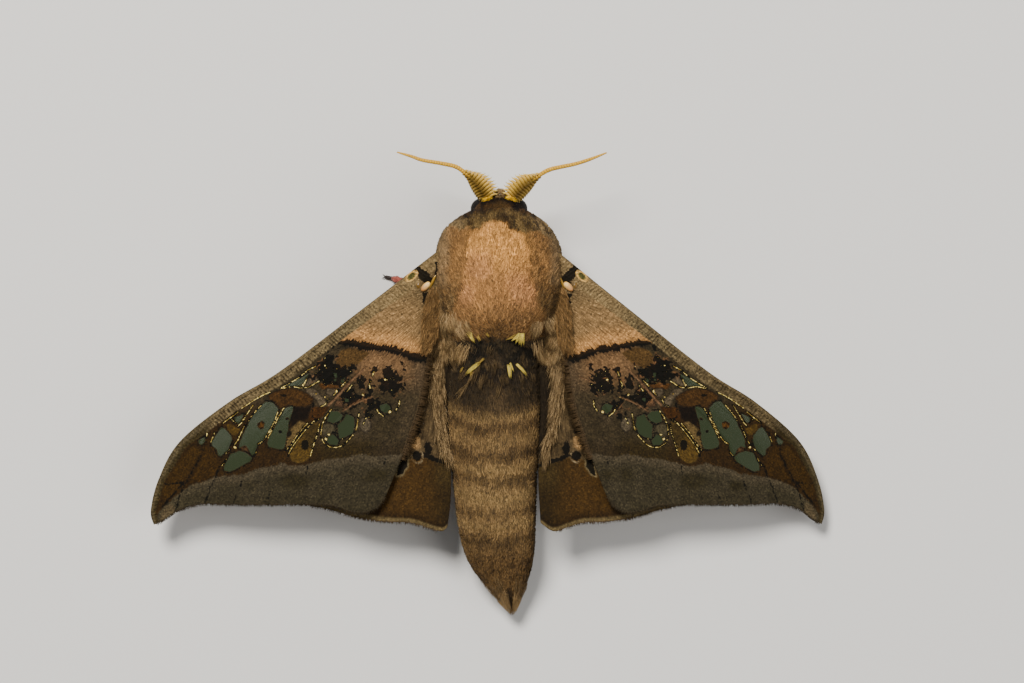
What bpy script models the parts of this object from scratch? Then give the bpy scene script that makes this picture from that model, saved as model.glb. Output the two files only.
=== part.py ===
"""A life-size falcate-winged silk moth at rest, wings spread flat, standing on its six feet.

The frame: +Z up, the head towards -Y and the moth's own left towards +X. The floor is z = 0.
All sizes below are in millimetres and become metres when a mesh is made.
"""

import math
from random import Random

import bmesh
import bpy
from mathutils import Vector

MM = 0.001
GAP = 0.3  # kept between two pieces that meet
ORIGIN_SHIFT = (-0.8, 0.1, 0.0)  # from the midline of the thorax to the middle of the whole footprint
LEFT, RIGHT = 1, -1
SIDES = {"left": LEFT, "right": RIGHT}

# The body: the head, the thorax with its coat, and the abdomen
WAIST_Y = -1.8
SOCKET_X = 5.9  # the flat face on the thorax that a forewing meets
SOCKET_Z = 8.0
HIND_SOCKET_X = 4.75
RING = 20  # points round a section of the body

# Each section: y, middle x, half width, highest z, lowest z
THORAX_SECTIONS = (
    (-17.1, -0.15, 1.0, 8.9, 7.7),
    (-16.6, -0.15, 2.3, 9.6, 6.2),
    (-15.8, -0.1, 3.5, 10.3, 4.9),
    (-14.8, 0.0, 4.5, 10.9, 3.9),
    (-13.3, 0.0, 5.3, 11.5, 3.2),
    (-11.8, 0.0, 5.75, 11.8, 2.9),
    (-9.5, 0.0, 5.85, 12.0, 2.9),
    (-7.0, 0.0, 5.3, 11.7, 3.0),
    (-5.2, 0.1, 4.5, 10.9, 3.1),
    (-3.4, 0.1, 4.2, 10.0, 3.0),
    (WAIST_Y, 0.2, 4.0, 9.4, 2.8),
)
ABDOMEN_SECTIONS = (
    (WAIST_Y + GAP, 0.2, 3.9, 9.2, 2.6),
    (2.0, 0.3, 3.95, 9.4, 2.1),
    (5.5, 0.3, 3.9, 9.1, 1.7),
    (9.0, 0.3, 3.7, 8.5, 1.5),
    (13.2, 0.05, 3.35, 7.5, 1.3),
    (15.6, -0.2, 2.8, 6.5, 1.2),
    (18.0, -0.6, 1.9, 4.9, 1.2),
    (19.8, -1.0, 1.1, 3.6, 1.3),
    (20.8, -1.2, 0.5, 2.8, 1.6),
)
ABDOMEN_TIP = (-1.3, 21.2, 2.1)

# The coat's locks: flat and tapered, sunk in the body at the root and lying towards the tail.
# Each row: y of its roots, how many, the widest angle from the top in degrees, length, width
LOCK_THICK = 0.5
LOCK_SINK = 0.45
LOCK_LIFT = 0.42
THORAX_LOCKS = (
    (-16.6, 5, 76, 2.6, 2.0),
    (-15.2, 7, 116, 3.0, 2.5),
    (-13.0, 8, 120, 3.2, 2.9),
    (-10.6, 5, 56, 3.2, 2.9),
    (-8.2, 5, 56, 3.2, 2.9),
    (-5.8, 5, 56, 3.2, 2.7),
)
ABDOMEN_LOCKS = (
    (2.6, 8, 136, 3.5, 3.3),
    (5.6, 8, 136, 3.5, 3.3),
    (8.6, 8, 138, 3.4, 3.1),
    (11.6, 8, 138, 3.3, 2.8),
    (14.5, 7, 138, 3.1, 2.5),
    (17.1, 6, 138, 2.9, 2.1),
)
WING_BAND = (58, 112)  # angles where a hindwing lies close to the abdomen, so its locks lie flatter there
TAIL_TUFT = ((-0.5, 20.3, 2.1), (0.35, 20.0, 2.4), (-0.1, 20.2, 3.0), (-0.75, 20.1, 2.6))
SKIRT_LIFT = 0.75
SKIRT = (7, 68, 2.9, 2.4)  # the locks over the waist: how many, widest angle, length, width
SIDE_TUFTS = ((4.3, -5.3, 10.0), (4.5, -4.4, 9.6), (4.55, -3.5, 9.3))
SIDE_TUFT_SIZE = (3.6, 1.1)
PALE_TUFTS = ((-2.1, -4.6, 1.5, 0.8), (-0.7, -4.7, 1.1, 0.55), (2.3, -4.5, 1.0, 0.5), (1.5, -2.5, 1.7, 0.7),
              (-1.2, -2.4, 1.4, 0.6), (-1.9, -2.4, 1.5, 0.6))  # x, y, length, width
MARGIN_LOCKS = ((5.7, -1.6), (5.6, 0.2), (6.0, 2.2), (5.7, 4.2), (6.2, 6.2), (5.7, 8.2))
MARGIN_LOCK_SIZE = (3.9, 0.85)
FRONS_LOCKS = ((-0.55, 6.3), (-0.2, 6.7), (0.15, 6.3), (-0.2, 5.7))

FRONS_LOCK_SIZE = (1.5, 0.6)

# The head
HEAD_CENTRE = (-0.15, -16.75, 5.5)
HEAD_HALF = (2.1, 1.3, 2.25)
EYE_OUT = 1.7
EYE_RADIUS = 1.0
EYE_Y, EYE_Z = -16.75, 5.7
PALP_RADIUS = 0.5

# The antennae: where each leaves the head, where its comb ends and where it ends, for each side
ANTENNA_PATHS = {
    "left": ((0.79, -17.84, 7.3), (1.65, -18.65, 8.0), (2.5, -19.55, 8.4), (3.25, -20.25, 8.6),
             (4.3, -20.75, 8.7), (5.9, -21.05, 8.7), (7.4, -21.4, 8.5), (9.3, -21.95, 8.2)),
    "right": ((-1.17, -17.84, 7.3), (-2.3, -18.6, 8.0), (-3.5, -19.45, 8.4), (-4.5, -20.15, 8.6),
              (-5.4, -20.45, 8.7), (-7.0, -20.75, 8.7), (-8.6, -21.2, 8.5), (-10.2, -21.85, 8.2)),
}
ANTENNA_RADII = (0.34, 0.3, 0.27, 0.26, 0.25, 0.24, 0.2, 0.12)
COMB_SHARE = (0.06, 0.4)  # of the antenna's length
RAMI = 6  # on each side of the comb
RAMUS_LENGTH = (1.15, 0.95)  # on the front side and the rear side
RAMUS_HALF = (0.23, 0.2)  # half width at the root, half thickness

# The wings, flat, as the moth's left pair; each margin runs outwards from the body
WING_START_X = 5.0  # where the fall of the wings begins
FOREWING_ROOT_X = SOCKET_X + GAP
HINDWING_ROOT_X = HIND_SOCKET_X + GAP
COSTA = ((6.2, -12.2), (12.1, -7.7), (20.5, -1.35), (25.4, 1.6), (30.2, 5.4), (32.3, 9.0), (33.1, 12.0),
         (32.8, 13.4))
OUTER_MARGIN = ((32.8, 13.4), (31.6, 12.8), (30.2, 11.9), (27.9, 11.35), (24.3, 11.4), (17.3, 11.35),
                (15.4, 11.5), (13.9, 12.0), (12.6, 12.1), (11.4, 11.6), (10.5, 10.4))
INNER_MARGIN = ((6.2, -5.4), (6.7, -2.4), (7.4, 1.9), (8.4, 5.0), (9.2, 7.2), (10.5, 10.4))
HIND_COSTA = ((5.05, -5.2), (9.0, -4.6), (14.5, -0.2), (18.5, 5.0), (20.4, 9.4))
HIND_OUTER = ((20.4, 9.4), (18.6, 11.2), (15.9, 11.9), (13.4, 12.6), (10.7, 13.0), (8.3, 13.1), (6.6, 13.6),
              (5.4, 13.9))
HIND_INNER = {
    LEFT: ((5.05, -2.2), (5.1, 0.0), (5.15, 4.0), (5.0, 8.5), (4.85, 13.5)),
    RIGHT: ((5.05, -2.2), (5.0, 0.0), (4.65, 3.5), (4.35, 6.5), (4.15, 9.5), (4.15, 13.1)),
}
# Each vein: its place across the wing, 0 at the front edge and 1 at the rear, and the share of the wing's
# length where it starts
FORE_VEINS = ((0.075, 0.0), (0.16, 0.5), (0.26, 0.42), (0.37, 0.42), (0.49, 0.42), (0.62, 0.0), (0.78, 0.34),
              (0.92, 0.0))
FORE_CELL_END = (0.42, 0.16, 0.62)  # along the wing, and the two places across that the cross vein joins
HIND_VEINS = ((0.12, 0.0), (0.28, 0.35), (0.44, 0.35), (0.6, 0.0), (0.8, 0.0))
FORE_STATIONS, HIND_STATIONS = 12, 8
MEMBRANE = 0.5
VEIN_HALF, VEIN_RISE = 0.3, 0.2
EDGE_RISE = 0.15
ROOT_RISE, ROOT_SHARE = 0.9, 0.3  # how much thicker a wing is at its root, and the share where that ends
ROOT_CROWD = 1.35  # how much the veins crowd to the front edge at the root
WING_Z = SOCKET_Z
WING_PITCH, WING_PITCH_Y = 0.055, -6.0  # the wings fall towards the tail from there
LAYER = 1.0  # the hindwing's middle below the forewing's
# For each side: the slope at the root and at the tip in degrees, the place along the span where the wing
# starts to curve down, and the share of the full span
WING_FALL = {LEFT: (5.0, 13.0, 16.0, 1.01), RIGHT: (5.0, 30.0, 13.0, 0.965)}
WING_SPAN = 28.0
TUBERCLE = ((7.0, -9.2), (0.6, 0.42, 0.5))

# The legs: the path of each left leg's middle and the radius there
LEG_RADII = (0.85, 0.78, 0.66, 0.5, 0.6, 0.45, 0.4, 0.36, 0.28)
FOOT_Z = 0.34
FOOT_FLAT = 0.1  # points lower than this are set on the floor
LEG_ROOT_Z = 2.3
LEG_PATHS = {
    "fore_left": ((1.9, -13.2, 1.6), (3.6, -13.5, 1.9), (6.0, -12.4, 3.1), (7.9, -10.9, 2.4), (9.0, -10.3, 1.1)),
    "fore_right": ((-1.9, -13.2, 1.6), (-3.5, -13.2, 1.9), (-5.6, -11.2, 3.1), (-6.6, -9.3, 2.4),
                   (-7.4, -8.3, 1.2)),
    "mid_left": ((2.6, -9.0, 1.6), (4.4, -8.6, 2.0), (6.8, -6.6, 3.3), (8.6, -4.8, 2.5), (9.6, -3.8, 1.2)),
    "mid_right": ((-2.6, -9.0, 1.6), (-4.4, -8.4, 2.0), (-6.8, -6.2, 3.3), (-8.6, -4.2, 2.5),
                  (-9.6, -3.2, 1.2)),
    "hind_left": ((2.4, -5.0, 1.6), (4.1, -4.0, 2.0), (6.4, -0.8, 3.3), (8.0, 2.4, 2.5), (8.9, 4.2, 1.2)),
    "hind_right": ((-2.4, -5.0, 1.6), (-4.1, -4.0, 2.0), (-6.4, -0.9, 3.3), (-7.8, 2.1, 2.5),
                   (-8.6, 3.9, 1.2)),
}
FOOT_DIRECTIONS = {
    "fore_left": (1.0, -0.08),
    "fore_right": (-0.75, 0.65),
    "mid_left": (0.75, 0.65),
    "mid_right": (-0.75, 0.65),
    "hind_left": (0.4, 0.92),
    "hind_right": (-0.4, 0.92),
}
FOOT_LENGTH = 2.6

COLOURS = {
    "coat": (0.36, 0.21, 0.11, 1),
    "wing": (0.24, 0.15, 0.09, 1),
    "hindwing": (0.25, 0.12, 0.05, 1),
    "eye": (0.01, 0.01, 0.012, 1),
    "antenna": (0.55, 0.33, 0.08, 1),
    "leg": (0.3, 0.09, 0.06, 1),
}
ROUGHNESS = {"coat": 0.9, "wing": 0.8, "hindwing": 0.8, "eye": 0.12, "antenna": 0.5, "leg": 0.6}


def clear_scene():
    for obj in list(bpy.data.objects):
        bpy.data.objects.remove(obj)


def gather(name):
    """Moves every object of the scene into one collection of this name."""
    holder = bpy.data.collections.new(name)
    bpy.context.scene.collection.children.link(holder)
    for obj in list(bpy.data.objects):
        for old in list(obj.users_collection):
            old.objects.unlink(obj)
        holder.objects.link(obj)


def material(name):
    """A plain Principled material for one finish."""
    made = bpy.data.materials.get(name)
    if made is None:
        made = bpy.data.materials.new(name)
        made.use_nodes = True
        shader = made.node_tree.nodes["Principled BSDF"]
        shader.inputs["Base Color"].default_value = COLOURS[name]
        shader.inputs["Roughness"].default_value = ROUGHNESS[name]
        shader.inputs["Metallic"].default_value = 0.0
    return made


def mesh_object(name, points, faces):
    """A mesh object from points in millimetres, with its faces pointing out."""
    mesh = bpy.data.meshes.new(name)
    mesh.from_pydata([Vector(p) * MM for p in points], [], faces)
    shape = bmesh.new()
    shape.from_mesh(mesh)
    bmesh.ops.recalc_face_normals(shape, faces=shape.faces)
    if shape.calc_volume(signed=True) < 0:
        bmesh.ops.reverse_faces(shape, faces=shape.faces)
    shape.to_mesh(mesh)
    shape.free()
    obj = bpy.data.objects.new(name, mesh)
    bpy.context.scene.collection.objects.link(obj)
    return obj


def loft(name, rings, end_point=None):
    """A closed body through rings of equally many points, with flat ends or one pointed end."""
    count = len(rings[0])
    points = [p for ring in rings for p in ring]
    faces = [tuple(range(count))]
    for r in range(len(rings) - 1):
        for i in range(count):
            j = (i + 1) % count
            faces.append((r * count + i, r * count + j, (r + 1) * count + j, (r + 1) * count + i))
    last = (len(rings) - 1) * count
    if end_point is None:
        faces.append(tuple(last + i for i in range(count)))
    else:
        points.append(end_point)
        faces += [(last + i, last + (i + 1) % count, len(points) - 1) for i in range(count)]
    return mesh_object(name, points, faces)


def through(values, share):
    """A point on the smooth line through the values, at a share from 0 to 1 of their number."""
    place = min(max(share, 0.0), 1.0) * (len(values) - 1)
    i = min(int(place), len(values) - 2)
    t = place - i
    before, a, b = values[max(i - 1, 0)], values[i], values[i + 1]
    after = values[min(i + 2, len(values) - 1)]
    return tuple(
        0.5 * (2 * q + (r - p) * t + (2 * p - 5 * q + 4 * r - s) * t * t + (3 * q - p - 3 * r + s) * t ** 3)
        for p, q, r, s in zip(before, a, b, after)
    )


class Line:
    """A smooth line through a few points, read by the share of its length."""

    STEPS = 12

    def __init__(self, points):
        count = (len(points) - 1) * self.STEPS
        self.places = [Vector(through(points, i / count)) for i in range(count + 1)]
        self.lengths = [0.0]
        for a, b in zip(self.places, self.places[1:]):
            self.lengths.append(self.lengths[-1] + (b - a).length)

    def at(self, share):
        wanted = share * self.lengths[-1]
        for i in range(1, len(self.lengths)):
            if self.lengths[i] >= wanted:
                break
        step = self.lengths[i] - self.lengths[i - 1]
        return self.places[i - 1].lerp(self.places[i], (wanted - self.lengths[i - 1]) / step)


def ring_at(section):
    """The points round one section of the body, a little squarer below than an ellipse."""
    y, middle, half, high, low = section
    points = []
    for i in range(RING):
        angle = 2 * math.pi * i / RING
        across, up = math.sin(angle), math.cos(angle)
        rise = (high - low) / 2
        points.append((middle + half * across, y, (high + low) / 2 + rise * up))
    return points


def body_loft(name, sections, steps, end_point=None):
    """A body lofted smoothly through its sections."""
    count = (len(sections) - 1) * steps
    rings = [ring_at(through(sections, i / count)) for i in range(count + 1)]
    return loft(name, rings, end_point)


def share_at(sections, y):
    """The share along a body's sections at which it reaches y."""
    low, high = 0.0, 1.0
    for _ in range(30):
        middle = (low + high) / 2
        if through(sections, middle)[0] < y:
            low = middle
        else:
            high = middle
    return low


def on_body(sections, share, angle, out):
    """A point over the body at an angle from its top, and the way out. Past the end it runs on straight."""

    def place(share, angle):
        section = through(sections, share)
        if share > 1:
            before = through(sections, 0.98)
            section = [a + (a - b) * (share - 1) / 0.02 for a, b in zip(section, before)]
        y, middle, half, high, low = section
        rise = max((high - low) / 2, 0.1)
        across = max(half, 0.1) * math.sin(angle)
        return Vector((middle + across, y, (high + low) / 2 + rise * math.cos(angle)))

    along = place(share + 0.01, angle) - place(share - 0.01, angle)
    around = place(share, angle + 0.02) - place(share, angle - 0.02)
    up = along.cross(around).normalized()
    point = place(share, angle)
    section = through(sections, min(share, 1))
    if up.dot(point - Vector((section[1], point.y, (section[3] + section[4]) / 2))) < 0:
        up = -up
    return point + up * out, up, around.normalized()


def blade(name, places, ups, sides, widths, thicks):
    """A flat, tapered lock through its places, ending in a point."""
    rings = []
    for place, up, side, width, thick in zip(places[:-1], ups, sides, widths, thicks):
        rings.append([place + side * width / 2, place + up * thick / 2, place - side * width / 2,
                      place - up * thick / 2])
    return loft(name, rings, places[-1])


def body_lock(sections, y, angle, length, width, lift, drift=0.0):
    """A lock that grows at y and an angle on a body and follows its shape towards the tail."""
    root = share_at(sections, y)
    here, _, _ = on_body(sections, root, angle, 0)
    there, _, _ = on_body(sections, root + 0.02, angle, 0)
    reach = 0.02 * length / (there - here).length
    steps = ((0.0, -LOCK_SINK, 0.8), (0.38, lift * 0.55, 1.0), (0.72, lift, 0.72), (1.0, lift * 1.05, 0.0))
    places, ups, sides, widths, thicks = [], [], [], [], []
    for t, out, share in steps:
        place, up, side = on_body(sections, root + t * reach, angle + t * drift, out)
        places.append(place)
        ups.append(up)
        sides.append(side)
        widths.append(width * share)
        thicks.append(LOCK_THICK * (1.1 - 0.4 * t))
    return blade("lock", places, ups, sides, widths, thicks)


def lock_rows(sections, rows, random, flatter=False):
    """The rows of locks of one body, each row set between those of the row before."""
    locks = []
    for r, (y, count, widest, length, width) in enumerate(rows):
        for i in range(count):
            share = (i + 0.5 + (0.22 if r % 2 else -0.22)) / count
            degrees = -widest + 2 * widest * share + random.uniform(-2, 2)
            lift = LOCK_LIFT * random.uniform(0.85, 1.1)
            if flatter and WING_BAND[0] < abs(degrees) < WING_BAND[1] and y < 13:
                lift *= 0.4
            drift = math.radians(random.uniform(-3, 3))
            locks.append(body_lock(sections, y + random.uniform(-0.15, 0.15), math.radians(degrees),
                                   length * random.uniform(0.92, 1.06), width, lift, drift))
    return locks


def straight_lock(root, direction, size, up=(0, 0, 1), sag=0.0, thick=LOCK_THICK):
    """A lock that runs straight from its root, or sags a little towards its tip."""
    length, width = size
    root, ahead, up = Vector(root), Vector(direction).normalized(), Vector(up)
    side = ahead.cross(up).normalized()
    up = side.cross(ahead)
    places = [root + ahead * length * t - up * sag * t * t for t in (0, 0.4, 0.75, 1)]
    return blade("lock", places, [up] * 4, [side] * 4, [width * w for w in (0.8, 1, 0.7)],
                 [thick * w for w in (1.1, 1, 0.75)])


def ellipsoid(name, centre, half, segments=16, rings=10):
    """A closed ellipsoid."""
    bpy.ops.mesh.primitive_uv_sphere_add(segments=segments, ring_count=rings, radius=1)
    obj = bpy.context.object
    obj.name = name
    for vertex in obj.data.vertices:
        vertex.co = Vector(c + h * v for c, h, v in zip(centre, half, vertex.co)) * MM
    return obj


def box(name, low, high):
    """A closed box between two corners."""
    bpy.ops.mesh.primitive_cube_add(size=1)
    obj = bpy.context.object
    obj.name = name
    for vertex in obj.data.vertices:
        vertex.co = Vector(lo + (hi - lo) * (v + 0.5) for lo, hi, v in zip(low, high, vertex.co)) * MM
    return obj


def tube(name, path, radii, resolution=2):
    """A round limb along a path, as a mesh with welded caps."""
    curve = bpy.data.curves.new(name, "CURVE")
    curve.dimensions = "3D"
    curve.bevel_depth = MM
    curve.bevel_resolution = resolution
    curve.use_fill_caps = True
    spline = curve.splines.new("POLY")
    spline.points.add(len(path) - 1)
    for point, place, radius in zip(spline.points, path, radii):
        point.co = (*(Vector(place) * MM), 1)
        point.radius = radius
    guide = bpy.data.objects.new(name + "_guide", curve)
    bpy.context.scene.collection.objects.link(guide)
    bpy.context.view_layer.update()
    graph = bpy.context.evaluated_depsgraph_get()
    mesh = bpy.data.meshes.new_from_object(guide.evaluated_get(graph))
    bpy.data.objects.remove(guide)
    shape = bmesh.new()
    shape.from_mesh(mesh)
    bmesh.ops.remove_doubles(shape, verts=shape.verts, dist=1e-6)
    bmesh.ops.recalc_face_normals(shape, faces=shape.faces)
    shape.to_mesh(mesh)
    shape.free()
    obj = bpy.data.objects.new(name, mesh)
    bpy.context.scene.collection.objects.link(obj)
    return obj


def keep_largest(obj):
    """Leaves only the largest closed surface of a mesh."""
    shape = bmesh.new()
    shape.from_mesh(obj.data)
    left = set(shape.verts)
    islands = []
    while left:
        island, front = set(), [left.pop()]
        while front:
            vertex = front.pop()
            island.add(vertex)
            for edge in vertex.link_edges:
                other = edge.other_vert(vertex)
                if other in left:
                    left.remove(other)
                    front.append(other)
        islands.append(island)
    islands.sort(key=len, reverse=True)
    for island in islands[1:]:
        bmesh.ops.delete(shape, geom=list(island), context="VERTS")
    shape.to_mesh(obj.data)
    shape.free()


def combine(obj, others, operation="UNION", solver="MANIFOLD"):
    """Joins the others to a mesh, or cuts them from it, and removes them."""
    group = bpy.data.collections.new(obj.name + "_pieces")
    bpy.context.scene.collection.children.link(group)
    for other in others:
        for holder in list(other.users_collection):
            holder.objects.unlink(other)
        group.objects.link(other)
    modifier = obj.modifiers.new("join", "BOOLEAN")
    modifier.operation = operation
    modifier.operand_type = "COLLECTION"
    modifier.collection = group
    modifier.solver = solver
    bpy.context.view_layer.update()
    graph = bpy.context.evaluated_depsgraph_get()
    mesh = bpy.data.meshes.new_from_object(obj.evaluated_get(graph))
    obj.modifiers.clear()
    obj.data = mesh
    for other in list(group.objects):
        bpy.data.objects.remove(other)
    bpy.data.collections.remove(group)
    keep_largest(obj)
    return obj


def wing_place(x, y, side, above):
    """A point of a flat left wing, bent down to its side's fall, at a height above the sheet's middle."""
    root, tip, start, span = WING_FALL[side]
    lateral = (x - WING_START_X) * span
    slope, last = math.radians(root), math.radians(tip)
    across, down, angle = lateral * math.cos(slope), lateral * math.sin(slope), slope
    if lateral > start:
        turn = (last - slope) / (WING_SPAN - start)
        angle = slope + turn * (lateral - start)
        across = start * math.cos(slope) + (math.sin(angle) - math.sin(slope)) / turn
        down = start * math.sin(slope) + (math.cos(slope) - math.cos(angle)) / turn
    pitch = WING_PITCH * max(0.0, y - WING_PITCH_Y)
    return (
        side * (WING_START_X + across + above * math.sin(angle)),
        y,
        WING_Z - down - pitch + above * math.cos(angle),
    )


def wing_map(front, outer, rear):
    """The flat wing's point at a share along it and a share across it, between its margins."""
    front, outer, rear = Line(front), Line(outer), Line(rear)
    root_front, root_rear = front.at(0), rear.at(0)
    tip_front, tip_rear = front.at(1), rear.at(1)

    def place(along, across):
        root = root_front.lerp(root_rear, across ** ROOT_CROWD)
        edges = front.at(along) * (1 - across) + rear.at(along) * across
        ends = root * (1 - along) + outer.at(across) * along
        corners = (root_front * (1 - across) + root_rear * across) * (1 - along)
        corners += (tip_front * (1 - across) + tip_rear * across) * along
        return edges + ends - corners

    return place


def vein_lines(veins, place, along):
    """The places across the wing of its mesh lines at one station, each with its rise, from front to rear."""
    crests = [v for v, _ in veins]
    stops = [0.0] + crests + [1.0]
    lines = [(0.0, EDGE_RISE)]
    for k, (crest, start) in enumerate(veins, 1):
        before, after = stops[k - 1], stops[k + 1]
        reach = (place(along, min(crest + 0.01, 1)) - place(along, crest)).length / 0.01
        half = VEIN_HALF / max(reach, 0.1)
        half = min(half, 0.3 * (crest - before), 0.3 * (after - crest))
        rise = VEIN_RISE if along >= start else 0.0
        lines += [(crest - half, 0.0), (crest, rise), (crest + half, 0.0)]
    lines.append((1.0, 0.0))
    return lines


def wing(name, margins, veins, stations, side, layer, thicker_above, cross_vein=None):
    """A closed wing: one sheet of the membrane's thickness with its veins raised on the upper face."""
    place = wing_map(*margins)
    alongs = [(i / stations) for i in range(stations + 1)]
    if cross_vein:
        end, first, last = cross_vein
        alongs = sorted(alongs + [end - 0.012, end, end + 0.012])
    upper, lower = [], []
    for along in alongs:
        fade = max(0.0, 1 - along / ROOT_SHARE) ** 2 * ROOT_RISE
        for across, rise in vein_lines(veins, place, along):
            x, y = place(along, across)
            if cross_vein and abs(along - end) < 1e-6 and first < across < last:
                rise = max(rise, VEIN_RISE * 0.8)
            top = layer + MEMBRANE / 2 + rise + (fade if thicker_above else 0)
            base = layer - MEMBRANE / 2 - (0 if thicker_above else fade * 0.6)
            upper.append(wing_place(x, y, side, top))
            lower.append(wing_place(x, y, side, base))
    rows, columns = len(alongs), len(upper) // len(alongs)
    count = len(upper)
    faces = []
    for r in range(rows - 1):
        for c in range(columns - 1):
            a, b = r * columns + c, r * columns + c + 1
            d, e = a + columns, b + columns
            for p, q, s in ((a, b, e), (a, e, d)):
                faces.append((p, q, s))
                faces.append((count + q, count + p, count + s))
    rim = [r * columns for r in range(rows)] + [(rows - 1) * columns + c for c in range(1, columns)]
    rim += [r * columns + columns - 1 for r in range(rows - 2, -1, -1)]
    rim += [c for c in range(columns - 2, 0, -1)]
    for a, b in zip(rim, rim[1:] + rim[:1]):
        faces.append((a, b, count + b))
        faces.append((a, count + b, count + a))
    return mesh_object(name, upper + lower, faces)


def make_forewing(side_name):
    side = SIDES[side_name]
    margins = (COSTA, OUTER_MARGIN, INNER_MARGIN)
    obj = wing("forewing_" + side_name, margins, FORE_VEINS, FORE_STATIONS, side, 0.0, True, FORE_CELL_END)
    (x, y), half = TUBERCLE
    top = wing_place(x, y, side, MEMBRANE / 2 + ROOT_RISE * 0.8)
    return combine(obj, [ellipsoid("tubercle", top, half, 10, 6)])


def make_hindwing(side_name):
    side = SIDES[side_name]
    inner = HIND_INNER[side]
    margins = (HIND_COSTA, HIND_OUTER + (inner[-1],), inner)
    obj = wing("hindwing_" + side_name, margins, HIND_VEINS, HIND_STATIONS, side, -LAYER, False)
    length, width = MARGIN_LOCK_SIZE
    locks = []
    for x, y in MARGIN_LOCKS:
        places = [Vector(wing_place(x + 0.05 * t * length, y + t * length, side, -LAYER + out))
                  for t, out in ((0, 0.0), (0.4, 0.3), (0.75, 0.4), (1, 0.42))]
        across = Vector((1, 0, 0))
        locks.append(blade("lock", places, [Vector((0, 0, 1))] * 4, [across] * 4,
                           [width * w for w in (0.8, 1, 0.7)], [LOCK_THICK * w for w in (1, 0.9, 0.7)]))
    return combine(obj, locks)


def stub(name, centre, axis, halves, deep, deep_halves):
    """A rounded boss whose flat face has its middle at centre and looks along axis, widening inwards."""
    centre, axis = Vector(centre), Vector(axis)
    first = Vector((0, 1, 0))
    second = axis.cross(first)
    rings = []
    for depth, (a, b) in ((deep, deep_halves), (0, halves)):
        ring = []
        for i in range(12):
            t = 2 * math.pi * i / 12
            ring.append(centre - axis * depth + first * a * math.cos(t) + second * b * math.sin(t))
        rings.append(ring)
    return loft(name, rings)


def wing_sockets(side):
    """The bosses on the thorax that meet the roots of the forewing and the hindwing of a side."""
    fore = (side * SOCKET_X, -8.9, SOCKET_Z + 0.35)
    hind = (side * HIND_SOCKET_X, -3.7, SOCKET_Z - LAYER - 0.2)
    return [
        stub("fore_socket", fore, (side, 0, 0), (3.2, 0.8), 3.0, (3.6, 1.9)),
        stub("hind_socket", hind, (side, 0, 0), (1.4, 0.5), 2.0, (2.0, 1.3)),
    ]


def hip_socket(path):
    """A short boss under the thorax with a flat end that a leg's hip meets."""
    x, y, _ = path[0]
    return stub("hip_socket", (x, y, LEG_ROOT_Z + GAP), (0, 0, -1), (0.75, 0.75), 2.6, (1.0, 1.2))


def head_room(centre, half):
    """The room in the thorax for a round form of the head, open to the front."""
    rings = []
    cx, cy, cz = centre
    a, b, c = (h + GAP for h in half)
    for back, scale in ((-5.0, 1.12), (0.0, 1.0), (0.4, 0.917), (0.7, 0.714), (0.9, 0.436)):
        y = cy + back * b
        rings.append([(cx + a * scale * math.sin(t), y, cz + c * scale * math.cos(t))
                      for t in (2 * math.pi * i / 20 for i in range(20))])
    return loft("head_room", rings, (cx, cy + b, cz))


def make_thorax():
    random = Random(5)
    obj = body_loft("thorax", THORAX_SECTIONS, 2)
    pieces = lock_rows(THORAX_SECTIONS, THORAX_LOCKS, random)
    count, widest, length, width = SKIRT
    for i in range(count):
        degrees = -widest + 2 * widest * (i + 0.5) / count
        pieces.append(body_lock(THORAX_SECTIONS, -3.3, math.radians(degrees), length, width, SKIRT_LIFT))
    for side in SIDES.values():
        pieces += wing_sockets(side)
        for x, y, z in SIDE_TUFTS:
            root = (side * (x - 0.5), y, z)
            pieces.append(straight_lock(root, (side * 0.12, 1, -0.02), SIDE_TUFT_SIZE, sag=0.3))
    for x, y, length, width in PALE_TUFTS:
        angle = math.asin(x / 4.4)
        pieces.append(body_lock(THORAX_SECTIONS, y, angle, length, width, 1.0))
    combine(obj, pieces + [hip_socket(path) for path in LEG_PATHS.values()])
    rooms = [head_room(HEAD_CENTRE, HEAD_HALF)]
    for side in SIDES.values():
        rooms.append(head_room(eye_centre(side), (EYE_RADIUS,) * 3))
        near, far = sorted((side * SOCKET_X, side * (SOCKET_X + 4)))
        rooms.append(box("wing_room", (near, -12.5, 6.8), (far, 3.0, 9.6)))
    return combine(obj, rooms, "DIFFERENCE")


def make_abdomen():
    random = Random(8)
    obj = body_loft("abdomen", ABDOMEN_SECTIONS, 2, ABDOMEN_TIP)
    locks = lock_rows(ABDOMEN_SECTIONS, ABDOMEN_LOCKS, random, True)
    for dx, y, z in TAIL_TUFT:
        locks.append(straight_lock((ABDOMEN_TIP[0] + dx, y - 0.9, z), (-0.12, 1, -0.25), (2.6, 0.9)))
    return combine(obj, locks)


def make_head():
    obj = ellipsoid("head", HEAD_CENTRE, HEAD_HALF, 16, 12)
    pieces = [straight_lock((x, -17.2, z), (0, -1, 0.35), FRONS_LOCK_SIZE) for x, z in FRONS_LOCKS]
    for s in SIDES.values():
        pieces.append(tube("palp", ((s * 0.5, -17.3, 4.3), (s * 0.6, -17.9, 4.4), (s * 0.5, -18.2, 5.0)),
                           (PALP_RADIUS, PALP_RADIUS, PALP_RADIUS * 0.5)))
    combine(obj, pieces)
    sockets = [ellipsoid("eye_room", eye_centre(s), (EYE_RADIUS + GAP,) * 3, 14, 10) for s in SIDES.values()]
    return combine(obj, sockets, "DIFFERENCE")


def eye_centre(side):
    return (HEAD_CENTRE[0] + side * EYE_OUT, EYE_Y, EYE_Z)


def make_eye(side_name):
    return ellipsoid("eye_" + side_name, eye_centre(SIDES[side_name]), (EYE_RADIUS,) * 3, 14, 9)


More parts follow.
